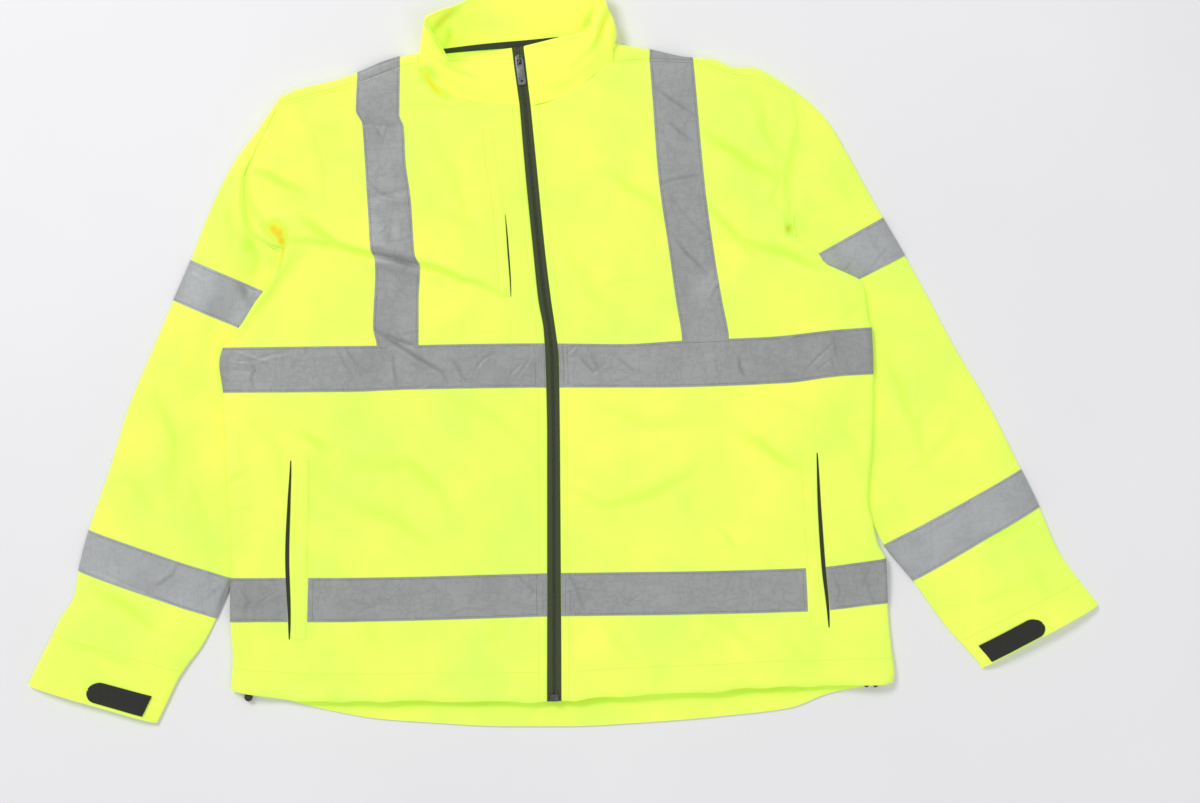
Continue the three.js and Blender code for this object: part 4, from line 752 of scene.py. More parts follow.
def back_grid(step):
    wide, tall = line_widths(BACK_UP, BACK_ACROSS)
    us = fine_steps(np.maximum(wide, step * 1.6 * (wide < 8)), step)
    vs = fine_steps(tall, step)
    vs = np.concatenate([vs[vs < FOLD_ROW - 1], FOLD_ROW - 1 + np.arange(0, 7) / 6])
    x, y = meet(BACK_UP, BACK_ACROSS, us, vs)
    z = back_height(x, y)
    swell = 0.5 * (1 + np.sin(x / 37 + 1.3 * np.sin(y / 61))) * smooth((np.abs(z - FLOOR_GAP)) / 2)
    z = z + 0.3 * swell
    left = us < MIDDLE
    side_line = np.where(left, up["left_side"](y), up["right_side"](y))
    from_side = np.abs(x - side_line)
    flat_front = front_height(x, y)
    middle = (back_height(x, y) + flat_front) / 2 - SEAM / 2
    roll = np.clip(ARM_ROW - vs, 0, 1)[:, None]
    z += roll * (middle - z) * rolled(from_side, EDGE_FLAT)
    hem_up = y - across["back_hem"](x)
    z += 0.5 * rolled(hem_up, 3) * (hem_up < 3)
    # over the shoulders: round the bend, then forward to the seam with the front
    neck = (us > LEFT_NECK) & (us < RIGHT_NECK)
    over = np.concatenate([np.arange(1, 7) / 6, 1 + np.arange(1, 5) / 4])
    seam = np.zeros((len(us), 3))
    for k, u in enumerate(us):
        grid, at = (left_front, u) if left[k] else (right_front, u - MIDDLE)
        seam[k] = grid.at(np.clip(at, 0, grid.us[-1]), TOP)
    seam[:, 2] += FLOOR_SHIFT
    fold_x, fold_y = meet(BACK_UP, BACK_ACROSS, us, [FOLD_ROW])
    fold_x, fold_y = fold_x[0], fold_y[0]
    top = front_height(seam[:, 0], across["front_top"](seam[:, 0]))
    level = (top + FLOOR_GAP) / 2
    quarter = np.clip(vs - (FOLD_ROW - 1), 0, 1)[:, None]
    turn = quarter * math.pi / 2
    folding = (vs > FOLD_ROW - 1)[:, None] & ~neck[None]
    z = np.where(folding, FLOOR_GAP + (level - FLOOR_GAP)[None] * (1 - np.cos(turn)), z)
    y = np.where(folding, fold_y[None] - FOLD_ROLL * (1 - np.sin(turn)), y)
    rows = []
    for s in over:
        if s <= 1:
            a = s * math.pi / 2
            y_over = mix(fold_y, seam[:, 1], 0.45)
            rows.append(np.stack([fold_x, mix(fold_y, y_over, 1 - math.cos(a)),
                                  mix(level, top, math.sin(a))], -1))
        else:
            start = mix(fold_y, seam[:, 1], 0.45)
            rows.append(np.stack([mix(fold_x, seam[:, 0], s - 1), mix(start, seam[:, 1] + SEAM, s - 1),
                                  mix(top, seam[:, 2], s - 1)], -1))
    points = np.concatenate([np.stack([x, y, z], -1), np.stack(rows)], axis=0)
    vs = np.concatenate([vs, FOLD_ROW + over])
    points[..., 2] -= FLOOR_SHIFT
    # painted shade on the back just below the front's hem, stronger in patches along it
    below = across["hem"](points[..., 0]) - points[..., 1]
    hem_shade_patches = 0.5 + 0.5 * np.sin(points[..., 0] / 43 + 2 * np.sin(points[..., 0] / 97))
    within = smooth((330 - np.abs(points[..., 0])) / 80)
    painted_shade = (0.25 + 0.5 * hem_shade_patches) * np.exp(-(((below - 1) / 5) ** 2)) * within
    grid = Grid(us, vs, points, -1, painted_shade)
    cell_u = ((us[:-1] + us[1:]) / 2)[None]
    cell_v = ((vs[:-1] + vs[1:]) / 2)[:, None]
    shown = (cell_v < YOKE_ROW) | ((cell_v < FOLD_ROW) & (cell_u > LEFT_NECK) & (cell_u < RIGHT_NECK))
    return grid, shown


back, back_shown = back_grid(6.6)


def refine(points, steps, closed=False):
    """Points along the first axis with more between them, on lines that don't swing past them."""
    if closed:
        points = np.concatenate([points[-2:], points, points[:3]])
    chord = np.linalg.norm(np.diff(points, axis=0), axis=2).mean(1)
    chord = np.maximum(chord, 1e-6).reshape((-1,) + (1,) * (points.ndim - 1))
    slope = tangents(np.diff(points, axis=0) / chord)
    out = []
    first = 2 if closed else 0
    for k, n in enumerate(steps):
        j = k + first
        for t in np.arange(n) / n:
            out.append(hermite(points[j], points[j + 1], slope[j], slope[j + 1], chord[j], t))
    if not closed:
        out.append(points[-1])
    return np.array(out)


def line_numbers(steps):
    """Line numbers with as many steps between each two as given."""
    parts = [k + np.arange(n) / n for k, n in enumerate(steps)]
    return np.concatenate(parts + [[float(len(steps))]])


def counts_for(points, step, closed=False):
    """How many steps each stretch along the first axis takes."""
    if closed:
        points = np.concatenate([points, points[:1]])
    length = np.linalg.norm(np.diff(points, axis=0), axis=2).mean(1)
    return np.clip(np.round(length / step), 1, 40).astype(int)


def sleeve_grid(sign, front, front_side, back_side, underarm, head, sections, step):
    def edge(v):
        return front.at(front_side, v) + np.array([sign * ARM_GAP, 0, FLOOR_SHIFT])

    def back_edge(v):
        return back.at(back_side, v) + np.array([sign * SEAM, 0, FLOOR_SHIFT])

    low, high = FLOOR_GAP, FLOOR_GAP + SLEEVE_FLAT
    jog_x, jog_y = LEFT_ARM if sign < 0 else RIGHT_ARM
    rows = list(range(ARM_ROW - 1, TOP + 1))

    def hidden(share, z):
        t = (share - 0.2) / 0.8
        return [mix(jog_x, underarm[0], t), mix(jog_y, underarm[1], t), z]

    ring = [(1, 0, [*underarm, (low + high) / 2])]
    ring += [(share, -1, hidden(share, low)) for share in (0.8, 0.5)]
    for row in rows:
        point = back_edge(row)
        if row < ARM_ROW:
            point = point + np.array([sign * CORNER_GAP, 0, low - point[2]])
        share = 0.2 if row < ARM_ROW else mix(0.05, -0.92, (row - ARM_ROW) / (TOP - ARM_ROW))
        ring.append((share, -1, point))
    ring.append((-1, 0, back_edge(FOLD_ROW)))
    ring.append((-0.92, 1, back_edge(OVER_ROW)))
    for row in reversed(rows):
        point = edge(row)
        if row < ARM_ROW:
            point = np.array([jog_x + sign * (SEAM + CORNER_GAP), jog_y, high])
        share = 0.2 if row < ARM_ROW else mix(0.05, -0.8, (row - ARM_ROW) / (TOP - ARM_ROW))
        ring.append((share, 1, point))
    ring += [(share, 1, hidden(share, high)) for share in (0.5, 0.8)]
    outer = next(first for share, face, first in ring if share == -1)
    side_line = up["left_side"] if sign < 0 else up["right_side"]
    hem_y = float(across["hem"](side_line(-370.0)))
    hem_x = float(side_line(hem_y))

    def free_by(x, y):
        above = np.hypot(x - jog_x, y - jog_y) * np.sign(np.maximum(sign * (x - jog_x), y - jog_y))
        below = np.hypot(np.maximum(sign * (x - hem_x), 0), y - hem_y)
        return np.where(y > jog_y, above, np.where(y < hem_y, below, sign * (x - side_line(y))))

    count = len(head)
    coarse = np.zeros((count + 1 + len(sections), len(ring), 3))
    for j in range(coarse.shape[0]):
        t = min(j / (count + 1), 1)
        if j > count:
            ends = sections[j - count - 1]
        elif j:
            ends = [*head[j - 1], mix(underarm[0], sections[0][2], t), mix(underarm[1], sections[0][3], t)]
        for i, (share, face, first) in enumerate(ring):
            if j == 0:
                coarse[j, i] = first
                continue
            w = (share + 1) / 2
            x, y = mix(ends[0], ends[2], w), mix(ends[1], ends[3], w)
            if t < 1:
                x += (1 - t) * (first[0] - mix(outer[0], underarm[0], w))
                y += (1 - t) * (first[1] - mix(outer[1], underarm[1], w))
            press = float(smooth((free_by(x, y) - PRESS_MARGIN) / PRESS_FALL))
            rise = press * (SLEEVE_RISE + float(fold_height(x, y))) * (1 - abs(share) ** 3) ** 0.6
            near_edge = 0.9 < abs(share) < 1
            z = low + (0.3 if near_edge else 0) if face < 0 else high + rise
            if face == 0:
                z = (low + high + press * SLEEVE_RISE * 0.35) / 2
            if t < 1 and face >= 0 and share < 0.2:
                z = mix(first[2], z, float(smooth(t / 0.8)))
            coarse[j, i] = (x, y, z)
    around_steps = counts_for(np.swapaxes(coarse, 0, 1), step, closed=True)
    along_steps = counts_for(coarse, step)
    fine = refine(np.swapaxes(coarse, 0, 1), around_steps, closed=True)
    us = np.concatenate([k + np.arange(n) / n for k, n in enumerate(around_steps)])
    fine = refine(np.swapaxes(fine, 0, 1), along_steps)
    vs = line_numbers(along_steps)
    # the armhole edge follows the body's own edge
    first_low, last_low = 4, 3 + len(rows) - 1
    first_high, last_high = last_low + 3, last_low + 3 + len(rows) - 2
    for k, u in enumerate(us):
        if first_low <= u <= last_low:
            exact = back_edge(ARM_ROW + (u - first_low))
        elif first_high <= u <= last_high:
            exact = edge(TOP - (u - first_high))
        else:
            continue
        away = exact - fine[0, k]
        fine[:, k] += away * (np.clip(1 - vs, 0, 1) ** 2)[:, None]
    x, y = fine[..., 0], fine[..., 1]
    wrinkle, painted_shade = creases(x, y)
    upper = ((us > first_high) & (us < len(ring) - 0.6))[None]
    from_fold = np.minimum(np.abs(us - first_high), np.abs(len(ring) - us))[None]
    free = smooth((free_by(x, y) - 6) / 24)
    start = smooth(vs / 1.2)[:, None]
    fine[..., 2] += np.where(upper, wrinkle * free * start * smooth(from_fold / 2.0), 0)
    # painted crease shade on the sleeve's upper face only, fading near the body
    painted_shade = np.where(upper, painted_shade * free, 0)
    end = smooth(1 - (vs[-1] - vs) / 0.9)[:, None]
    fine[..., 2] -= np.where(upper, 0.5 * end * smooth(from_fold / 2), 0)
    fine[..., 2] -= FLOOR_SHIFT
    grid = Grid(us, vs, fine, 1, painted_shade, around=True)
    grid.count = float(len(ring))
    section = fine[len(vs) // 2]
    if ((section - section.mean(0)) * grid.n[len(vs) // 2]).sum() < 0:
        grid.n = -grid.n
    return grid


left_sleeve = sleeve_grid(-1, left_front, 0, 0, LEFT_UNDERARM, LEFT_HEAD, LEFT_SLEEVE, 3.2)
right_sleeve = sleeve_grid(1, right_front, len(RIGHT_UP) - 1, len(BACK_UP) - 1, RIGHT_UNDERARM,
                           RIGHT_HEAD, RIGHT_SLEEVE, 3.2)


def collar_grid(step):
    edge = []

    def take(grid, u, v, from_u, from_v, extra=0.0):
        point = grid.at(u, v)
        away = point - grid.at(from_u, from_v)
        away[2] = 0
        away = away / np.linalg.norm(away)
        edge.append(point + away * NECK_GAP + np.array([0, extra, -0.05]))

    for u in (16, 15, 14, 12, 11, 10):
        take(left_front, u, TOP, u, TOP - 1)
    take(back, LEFT_NECK, OVER_ROW, LEFT_NECK - 1, OVER_ROW)
    take(back, LEFT_NECK, FOLD_ROW, LEFT_NECK - 1, FOLD_ROW, 2 * SEAM)
    for u in (11, 12, 14, 15, 16, 17, 18, 19):
        take(back, u, FOLD_ROW, u, FOLD_ROW - 1)
    take(back, RIGHT_NECK, FOLD_ROW, RIGHT_NECK + 1, FOLD_ROW, 2 * SEAM)
    take(back, RIGHT_NECK, OVER_ROW, RIGHT_NECK + 1, OVER_ROW)
    for u in (4, 3, 2, 1, 0):
        take(right_front, u, TOP, u, TOP - 1)
    base = np.array(edge)
    top = np.array(COLLAR_TOP, float)
    top[:, 2] -= FLOOR_SHIFT
    lift = np.where((np.arange(len(top)) >= 8) & (np.arange(len(top)) <= 16), 0.3, 1.0)
    coarse = []
    for t in COLLAR_ROWS:
        row = mix(base, top, t)
        row[:, 2] += COLLAR_BULGE * math.sin(math.pi * t) ** 1.5 * lift
        coarse.append(row)
    coarse = np.array(coarse)
    along_steps, up_steps = counts_for(np.swapaxes(coarse, 0, 1), step), counts_for(coarse, step)
    fine = refine(np.swapaxes(coarse, 0, 1), along_steps)
    us = line_numbers(along_steps)
    fine = refine(np.swapaxes(fine, 0, 1), up_steps)
    vs = line_numbers(up_steps)
    flare_x, flare_y = photo(*FLARE)
    near = np.exp(-(((fine[..., 0] - flare_x) / 22) ** 2) - ((fine[..., 1] - flare_y) / 22) ** 2)
    fine[..., 0] += FLARE_OUT * near * smooth(vs / 1.5)[:, None] * smooth((vs[-1] - vs) / 2)[:, None]
    wrinkle, painted_shade = creases(fine[..., 0], fine[..., 1])
    ends = smooth(np.minimum(vs, vs[-1] - vs) / 0.8)[:, None]
    first = Grid(us, vs, fine, -1)
    fine = fine + first.n * (0.8 * wrinkle * ends * smooth((first.n[..., 2] + 0.2) * 2))[..., None]
    # turned edge and its stitched-down hem
    fine = fine + first.n * (0.5 * np.exp(-(((vs - vs[-1] + 0.35) / 0.3) ** 2)))[:, None, None]
    return Grid(us, vs, fine, -1, painted_shade)


collar = collar_grid(2.6)


def zip_grid(side):
    """One tape of the front zip, from its outer edge to the middle, from the hem to the collar's top."""
    vs = np.concatenate([left_front.vs[left_front.vs <= TOP], TOP + 1 + collar.vs[1:]])
    low = left_front.vs[left_front.vs <= TOP]
    left = np.concatenate([left_front.at(16, low), collar.at(0, collar.vs[1:])])
    right = np.concatenate([right_front.at(0, low), collar.at(collar.us[-1], collar.vs[1:])])
    width = np.linalg.norm(right - left, axis=1)
    shares = np.linspace(0, 1, 7)
    rows = []
    for s in shares:
        off = side * mix(0.5 - SEAM / width, TAPE_LIFT / 2 / width, s)
        point = left + (right - left) * (0.5 + off)[:, None]
        point[:, 2] += 0.5 - ZIP_RECESS + 0.35 * math.sin(math.pi * s * 0.8)
        rows.append(point)
    return Grid(np.linspace(0, 1, 7), vs, np.stack(rows, axis=1), -side)


zip_left, zip_right = zip_grid(-1), zip_grid(1)
for grid in (zip_left, zip_right):
    if grid.n[..., 2].mean() < 0:
        grid.n = -grid.n


# Materials
def shader(name):
    material = bpy.data.materials.new(name)
    material.use_nodes = True
    nodes, links = material.node_tree.nodes, material.node_tree.links
    return material, nodes, links, nodes["Principled BSDF"]


def scaled(colour, share):
    return tuple(min(1, c * share) for c in colour)


def value(node, key, number):
    node.inputs[key].default_value = number


def coordinates(nodes, links, scale=(1000, 1000, 1000), turn=0.0):
    """Object coordinates in mm, times a scale."""
    texture = nodes.new("ShaderNodeTexCoord")
    mapping = nodes.new("ShaderNodeMapping")
    mapping.inputs["Scale"].default_value = scale
    mapping.inputs["Rotation"].default_value = (0, 0, turn)
    links.new(texture.outputs["Object"], mapping.inputs["Vector"])
    return mapping.outputs["Vector"]


def noise(nodes, links, vector, scale, detail=3.0, rough=0.55):
    node = nodes.new("ShaderNodeTexNoise")
    value(node, "Scale", scale)
    value(node, "Detail", detail)
    value(node, "Roughness", rough)
    links.new(vector, node.inputs["Vector"])
    return node.outputs["Fac"]


def math_node(nodes, links, kind, a, b=None, clamp=False):
    node = nodes.new("ShaderNodeMath")
    node.operation = kind
    node.use_clamp = clamp
    for k, item in enumerate((a, b)):
        if item is None:
            continue
        if isinstance(item, (int, float)):
            node.inputs[k].default_value = item
        else:
            links.new(item, node.inputs[k])
    return node.outputs[0]


def ramp(nodes, links, source, stops):
    node = nodes.new("ShaderNodeValToRGB")
    band = node.color_ramp
    while len(band.elements) < len(stops):
        band.elements.new(0.5)
    for element, (place, colour) in zip(band.elements, stops):
        element.position = place
        element.color = (*colour, 1)
    links.new(source, node.inputs["Fac"])
    return node.outputs["Color"]


def mix_colour(nodes, links, amount, a, b, kind="MIX"):
    node = nodes.new("ShaderNodeMix")
    node.data_type = "RGBA"
    node.blend_type = kind
    for socket, item in ((node.inputs[0], amount), (node.inputs[6], a), (node.inputs[7], b)):
        if isinstance(item, (int, float)):
            socket.default_value = item
        elif isinstance(item, tuple):
            socket.default_value = (*item, 1)
        else:
            links.new(item, socket)
    return node.outputs[2]


def bump(nodes, links, height, strength, distance, under=None):
    node = nodes.new("ShaderNodeBump")
    value(node, "Strength", strength)
    value(node, "Distance", distance * MM)
    links.new(height, node.inputs["Height"])
    if under is not None:
        links.new(under, node.inputs["Normal"])
    return node.outputs["Normal"]


def weave(nodes, links, pitch, turn=0.0):
    """A plain weave of that pitch in mm, from two crossed waves."""
    vector = coordinates(nodes, links, turn=turn)
    waves = []
    for direction in ("X", "Y"):
        node = nodes.new("ShaderNodeTexWave")
        node.bands_direction = direction
        value(node, "Scale", 0.314 / pitch)
        value(node, "Distortion", 0.6)
        value(node, "Detail", 1.0)
        links.new(vector, node.inputs["Vector"])
        waves.append(node.outputs["Fac"])
    return math_node(nodes, links, "MULTIPLY", *waves)


def hi_vis_cloth(name="hi_vis_cloth", base=(0.74, 0.93, 0.115), painted_glow=0.20):
    material, nodes, links, out = shader(name)
    painted_shade_attribute = nodes.new("ShaderNodeAttribute")
    painted_shade_attribute.attribute_name = "painted_shade_attribute"
    vector = coordinates(nodes, links)
    cloudy = noise(nodes, links, vector, 0.012, 3, 0.6)
    grain = noise(nodes, links, vector, 0.9, 2, 0.6)
    tint = noise(nodes, links, vector, 0.006, 4, 0.65)
    greener = tuple(c * k for c, k in zip(base, (0.86, 1.0, 1.05)))
    yellower = tuple(c * k for c, k in zip(base, (1.14, 0.985, 0.95)))
    colour = ramp(nodes, links, tint, [(0.3, greener), (0.5, base), (0.7, yellower)])
    pale = ramp(nodes, links, cloudy, [(0.25, (0.955,) * 3), (0.75, (1.03,) * 3)])
    colour = mix_colour(nodes, links, 1.0, colour, pale, "MULTIPLY")
    speckled = math_node(nodes, links, "MULTIPLY", grain, 0.14)
    colour = mix_colour(nodes, links, speckled, colour, (0.66, 0.80, 0.05))
    # painted shade: soft folds turn greener and deep creases turn orange
    painted_shade = math_node(nodes, links, "MULTIPLY", painted_shade_attribute.outputs["Fac"], 1.0, clamp=True)
    soft_crease_shade = ramp(nodes, links, painted_shade, [(0.0, (0, 0, 0)), (0.35, (1, 1, 1))])
    strong_crease_shade = ramp(nodes, links, painted_shade, [(0.35, (0, 0, 0)), (1.0, (1, 1, 1))])
    colour = mix_colour(nodes, links, soft_crease_shade, colour, (0.58, 0.90, 0.07))
    colour = mix_colour(nodes, links, strong_crease_shade, colour, (0.82, 0.60, 0.012))
    links.new(colour, out.inputs["Base Color"])
    value(out, "Roughness", 0.86)
    value(out, "Sheen Weight", 0.22)
    value(out, "Sheen Roughness", 0.5)
    value(out, "Specular IOR Level", 0.22)
    # painted glow standing in for the cloth's fluorescence: emission that lifts the shade everywhere and
    # turns orange in the painted crease shade
    painted_glow_colour = mix_colour(nodes, links, painted_shade, (0.72, 0.95, 0.12), (0.50, 0.36, 0.0))
    links.new(painted_glow_colour, out.inputs["Emission Color"])
    value(out, "Emission Strength", painted_glow)
    soft = bump(nodes, links, noise(nodes, links, vector, 0.11, 4, 0.6), 0.35, 0.8)
    cloth = bump(nodes, links, weave(nodes, links, 0.9), 0.5, 0.12, soft)
    links.new(cloth, out.inputs["Normal"])
    return material


def reflective(name, light, crinkle=1.0):
    """Silver-grey tape with a fine woven ground, crinkled by folding, with painted shade along its crinkle
    lines and in its folds.
    """
    material, nodes, links, out = shader(name)
    painted_shade_attribute = nodes.new("ShaderNodeAttribute")
    painted_shade_attribute.attribute_name = "painted_shade_attribute"
    vector = coordinates(nodes, links)
    stretched = coordinates(nodes, links, scale=(420, 1500, 1000), turn=0.5)
    other = coordinates(nodes, links, scale=(1500, 500, 1000), turn=0.35)
    big = noise(nodes, links, vector, 0.02, 4, 0.6)
    lines = noise(nodes, links, stretched, 0.05, 5, 0.62)
    cross = noise(nodes, links, other, 0.045, 5, 0.62)
    ridge_a = math_node(nodes, links, "ABSOLUTE", math_node(nodes, links, "SUBTRACT", lines, 0.5))
    ridge_b = math_node(nodes, links, "ABSOLUTE", math_node(nodes, links, "SUBTRACT", cross, 0.5))
    crack = math_node(nodes, links, "MINIMUM", ridge_a, ridge_b)
    dark, bright = scaled(light, 0.90), scaled(light, 1.07)
    colour = ramp(nodes, links, big, [(0.28, dark), (0.5, light), (0.74, bright)])
    # painted shade along the crinkle lines
    crinkle_shade = ramp(nodes, links, crack, [(0.0, (1, 1, 1)), (0.03 * crinkle, (0, 0, 0))])
    crinkle_shade_share = math_node(nodes, links, "MULTIPLY", crinkle_shade, 0.35 * crinkle)
    colour = mix_colour(nodes, links, crinkle_shade_share, colour, scaled(light, 0.62))
    # painted shade in the tape's folds and creases
    crease_shade_share = math_node(nodes, links, "MULTIPLY", painted_shade_attribute.outputs["Fac"], 0.75, clamp=True)
    colour = mix_colour(nodes, links, crease_shade_share, colour, scaled(light, 0.5))
    links.new(colour, out.inputs["Base Color"])
    value(out, "Roughness", 0.5)
    value(out, "Metallic", 0.15)
    value(out, "Specular IOR Level", 0.4)
    value(out, "Sheen Weight", 0.15)
    base = bump(nodes, links, crack, 0.5 * crinkle, 1.2)
    soft = bump(nodes, links, noise(nodes, links, vector, 0.08, 4, 0.6), 0.5, 0.8, base)
    cloth = bump(nodes, links, weave(nodes, links, 0.55), 0.35, 0.06, soft)
    links.new(cloth, out.inputs["Normal"])
    return material


def woven(name, colour, pitch, rough=0.75, strength=0.7, depth=0.25):
    material, nodes, links, out = shader(name)
    vector = coordinates(nodes, links)
    threads = weave(nodes, links, pitch)
    speck = noise(nodes, links, vector, 0.6, 3, 0.7)
    tone = mix_colour(nodes, links, threads, scaled(colour, 0.55), scaled(colour, 1.35))
    specked = math_node(nodes, links, "MULTIPLY", speck, 0.35)
    tone = mix_colour(nodes, links, specked, tone, scaled(colour, 0.7))
    links.new(tone, out.inputs["Base Color"])
    value(out, "Roughness", rough)
    value(out, "Sheen Weight", 0.25)
    value(out, "Specular IOR Level", 0.3)
    links.new(bump(nodes, links, threads, strength, depth), out.inputs["Normal"])
    return material


def moulded(name, colour, rough, metallic=0.0, grain=0.6):
    material, nodes, links, out = shader(name)
    vector = coordinates(nodes, links)
    speck = noise(nodes, links, vector, grain, 4, 0.6)
    tone = mix_colour(nodes, links, speck, scaled(colour, 0.75), scaled(colour, 1.25))
    links.new(tone, out.inputs["Base Color"])
    value(out, "Metallic", metallic)
    roughness = ramp(nodes, links, speck, [(0.3, (rough * 0.8,) * 3), (0.7, (min(1, rough * 1.25),) * 3)])
    links.new(roughness, out.inputs["Roughness"])
    links.new(bump(nodes, links, noise(nodes, links, vector, 2.2, 3, 0.6), 0.25, 0.06), out.inputs["Normal"])
    return material


CLOTH_MATERIAL = hi_vis_cloth()
BODY_TAPE = reflective("reflective_body", (0.325, 0.335, 0.325), 1.0)
SLEEVE_TAPE = reflective("reflective_sleeve", (0.395, 0.405, 0.410), 0.8)
ZIP_CLOTH = woven("zip_cloth", (0.068, 0.085, 0.034), 0.7, 0.8)
NECK_CLOTH = woven("neck_tape_cloth", (0.045, 0.055, 0.035), 1.1, 0.85)
HOOK_TAPE = woven("hook_tape", (0.030, 0.032, 0.024), 1.3, 0.9, 1.0, 0.5)
POCKET_ZIP = woven("pocket_zip_cloth", (0.040, 0.046, 0.022), 0.9, 0.8)
COIL = moulded("zip_coil", (0.022, 0.026, 0.017), 0.35)
METAL = moulded("zip_metal", (0.10, 0.105, 0.105), 0.34, 0.8)
DARK_METAL = moulded("pull_metal", (0.20, 0.205, 0.205), 0.38, 0.9)
PLASTIC = moulded("lock_plastic", (0.020, 0.022, 0.021), 0.42)
YELLOW_THREAD = moulded("yellow_thread", (0.62, 0.72, 0.04), 0.8)
GREY_THREAD = moulded("grey_thread", (0.09, 0.10, 0.08), 0.7)
# the collar's copy is warmer and glows more: painted light that lifts the shade inside the collar
LIFTED_COLLAR_MATERIAL = hi_vis_cloth("hi_vis_collar_lifted", (0.84, 0.92, 0.10), 0.25)


# Cloth pieces
def cloth_piece(name, node, grid, outer, inner, material, has=None):
    vertices, faces, painted_shade = wall(grid, outer, inner, has)
    obj = put(name, vertices, faces, material, painted_shade)
    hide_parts(node)
    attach(obj, "jacket")
    return obj


def taped(node, grid, columns, rows, inset, material, times=2):
    """A tape on a grid, with thin creases of its own pressed into it and painted shade along them."""
    piece = strip(grid, columns, rows, inset, times)
    height, painted_shade = pressed(piece.p[..., 0], piece.p[..., 1], TAPE_CREASES + SMALL_ON_TAPE, True)
    shown = smooth((piece.n[..., 2] - 0.2) / 0.4)
    piece.p = piece.p + piece.n * (height * shown)[..., None]
    # painted shade: the tape's own creases, and half the painted shade of the cloth under it
    piece.painted_shade = np.maximum(piece.painted_shade * 0.5, painted_shade * shown)
    return cloth_piece("tape_" + node, node, piece, TAPE_LIFT + TAPE, TAPE_LIFT, material)


front_left = cloth_piece("cloth_front_left", "front_left", left_front, 0, -CLOTH, CLOTH_MATERIAL)
front_right = cloth_piece("cloth_front_right", "front_right", right_front, 0, -CLOTH, CLOTH_MATERIAL)
back_piece = cloth_piece("cloth_back", "back", back, 0, -CLOTH, CLOTH_MATERIAL, back_shown)
sleeve_left = cloth_piece("cloth_sleeve_left", "sleeve_left", left_sleeve, 0, -CLOTH, CLOTH_MATERIAL)
sleeve_right = cloth_piece("cloth_sleeve_right", "sleeve_right", right_sleeve, 0, -CLOTH, CLOTH_MATERIAL)
collar_piece = cloth_piece("cloth_collar", "collar", collar, 0, -COLLAR_CLOTH, LIFTED_COLLAR_MATERIAL)

RIGHT_SIDE_COLUMN = len(RIGHT_UP) - 1
BACK_COLUMNS = len(BACK_UP) - 1
TAPE_END = 0.006
on_left = [
    taped("chest_band_left", left_front, (0, 16), (CHEST_LOW, CHEST_HIGH), (0, TAPE_END, 0, 0), BODY_TAPE),
    taped("hem_band_side_left", left_front, (0, 4), (BAND_LOW, BAND_HIGH), (0, -0.03, 0, 0), BODY_TAPE),
    taped("hem_band_left", left_front, (6, 16), (BAND_LOW, BAND_HIGH), (0.01, TAPE_END, 0, 0), BODY_TAPE),
    taped("brace_left", left_front, (8, 9), (CHEST_HIGH, TOP), (0.004, 0.004, 0.005, 0), BODY_TAPE)]
on_right = [
    taped("chest_band_right", right_front, (0, RIGHT_SIDE_COLUMN), (CHEST_LOW, CHEST_HIGH),
          (TAPE_END, 0, 0, 0), BODY_TAPE),
    taped("hem_band_side_right", right_front, (11, RIGHT_SIDE_COLUMN), (BAND_LOW, BAND_HIGH),
          (-0.03, 0, 0, 0), BODY_TAPE),
    taped("hem_band_right", right_front, (0, 9), (BAND_LOW, BAND_HIGH), (TAPE_END, 0.01, 0, 0), BODY_TAPE),
    taped("brace_right", right_front, (6, 7), (CHEST_HIGH, TOP), (0.004, 0.004, 0.005, 0), BODY_TAPE)]
yokes = [strip(back, (0, LEFT_NECK), (YOKE_ROW, SEAM_ROW), (0, 0.02, 0.02, 0)),
         strip(back, (RIGHT_NECK, BACK_COLUMNS), (YOKE_ROW, SEAM_ROW), (0.02, 0, 0.02, 0))]
on_back = [
    taped("chest_band_back", back, (0, BACK_COLUMNS), (CHEST_LOW, CHEST_HIGH), (0, 0, 0, 0), BODY_TAPE, 1),
    taped("hem_band_back", back, (0, BACK_COLUMNS), (BAND_LOW, BAND_HIGH), (0, 0, 0, 0), BODY_TAPE, 1),
    taped("brace_back_left", back, (8, 9), (CHEST_HIGH, SEAM_ROW), (0.008, 0.008, 0.03, 0), BODY_TAPE, 1),
    taped("brace_back_right", back, (MIDDLE + 6, MIDDLE + 7), (CHEST_HIGH, SEAM_ROW),
          (0.008, 0.008, 0.03, 0), BODY_TAPE, 1),
    cloth_piece("cloth_yoke_left", "yoke_left", yokes[0], 0, -CLOTH, CLOTH_MATERIAL),
    cloth_piece("cloth_yoke_right", "yoke_right", yokes[1], 0, -CLOTH, CLOTH_MATERIAL)]
HEADS = len(LEFT_HEAD) + 1
on_sleeve_left = [
    taped("sleeve_band_upper_left", left_sleeve, None, (HEADS, HEADS + 1), (0, 0, 0, 0), SLEEVE_TAPE),
    taped("sleeve_band_lower_left", left_sleeve, None, (HEADS + 5, HEADS + 6), (0, 0, 0, 0), SLEEVE_TAPE)]
on_sleeve_right = [
    taped("sleeve_band_upper_right", right_sleeve, None, (HEADS, HEADS + 1), (0, 0, 0, 0), SLEEVE_TAPE),
    taped("sleeve_band_lower_right", right_sleeve, None, (HEADS + 5, HEADS + 6), (0, 0, 0, 0), SLEEVE_TAPE)]


POCKET_ROWS = (WELT_LOW + 0.02, WELT_HIGH - 0.02)


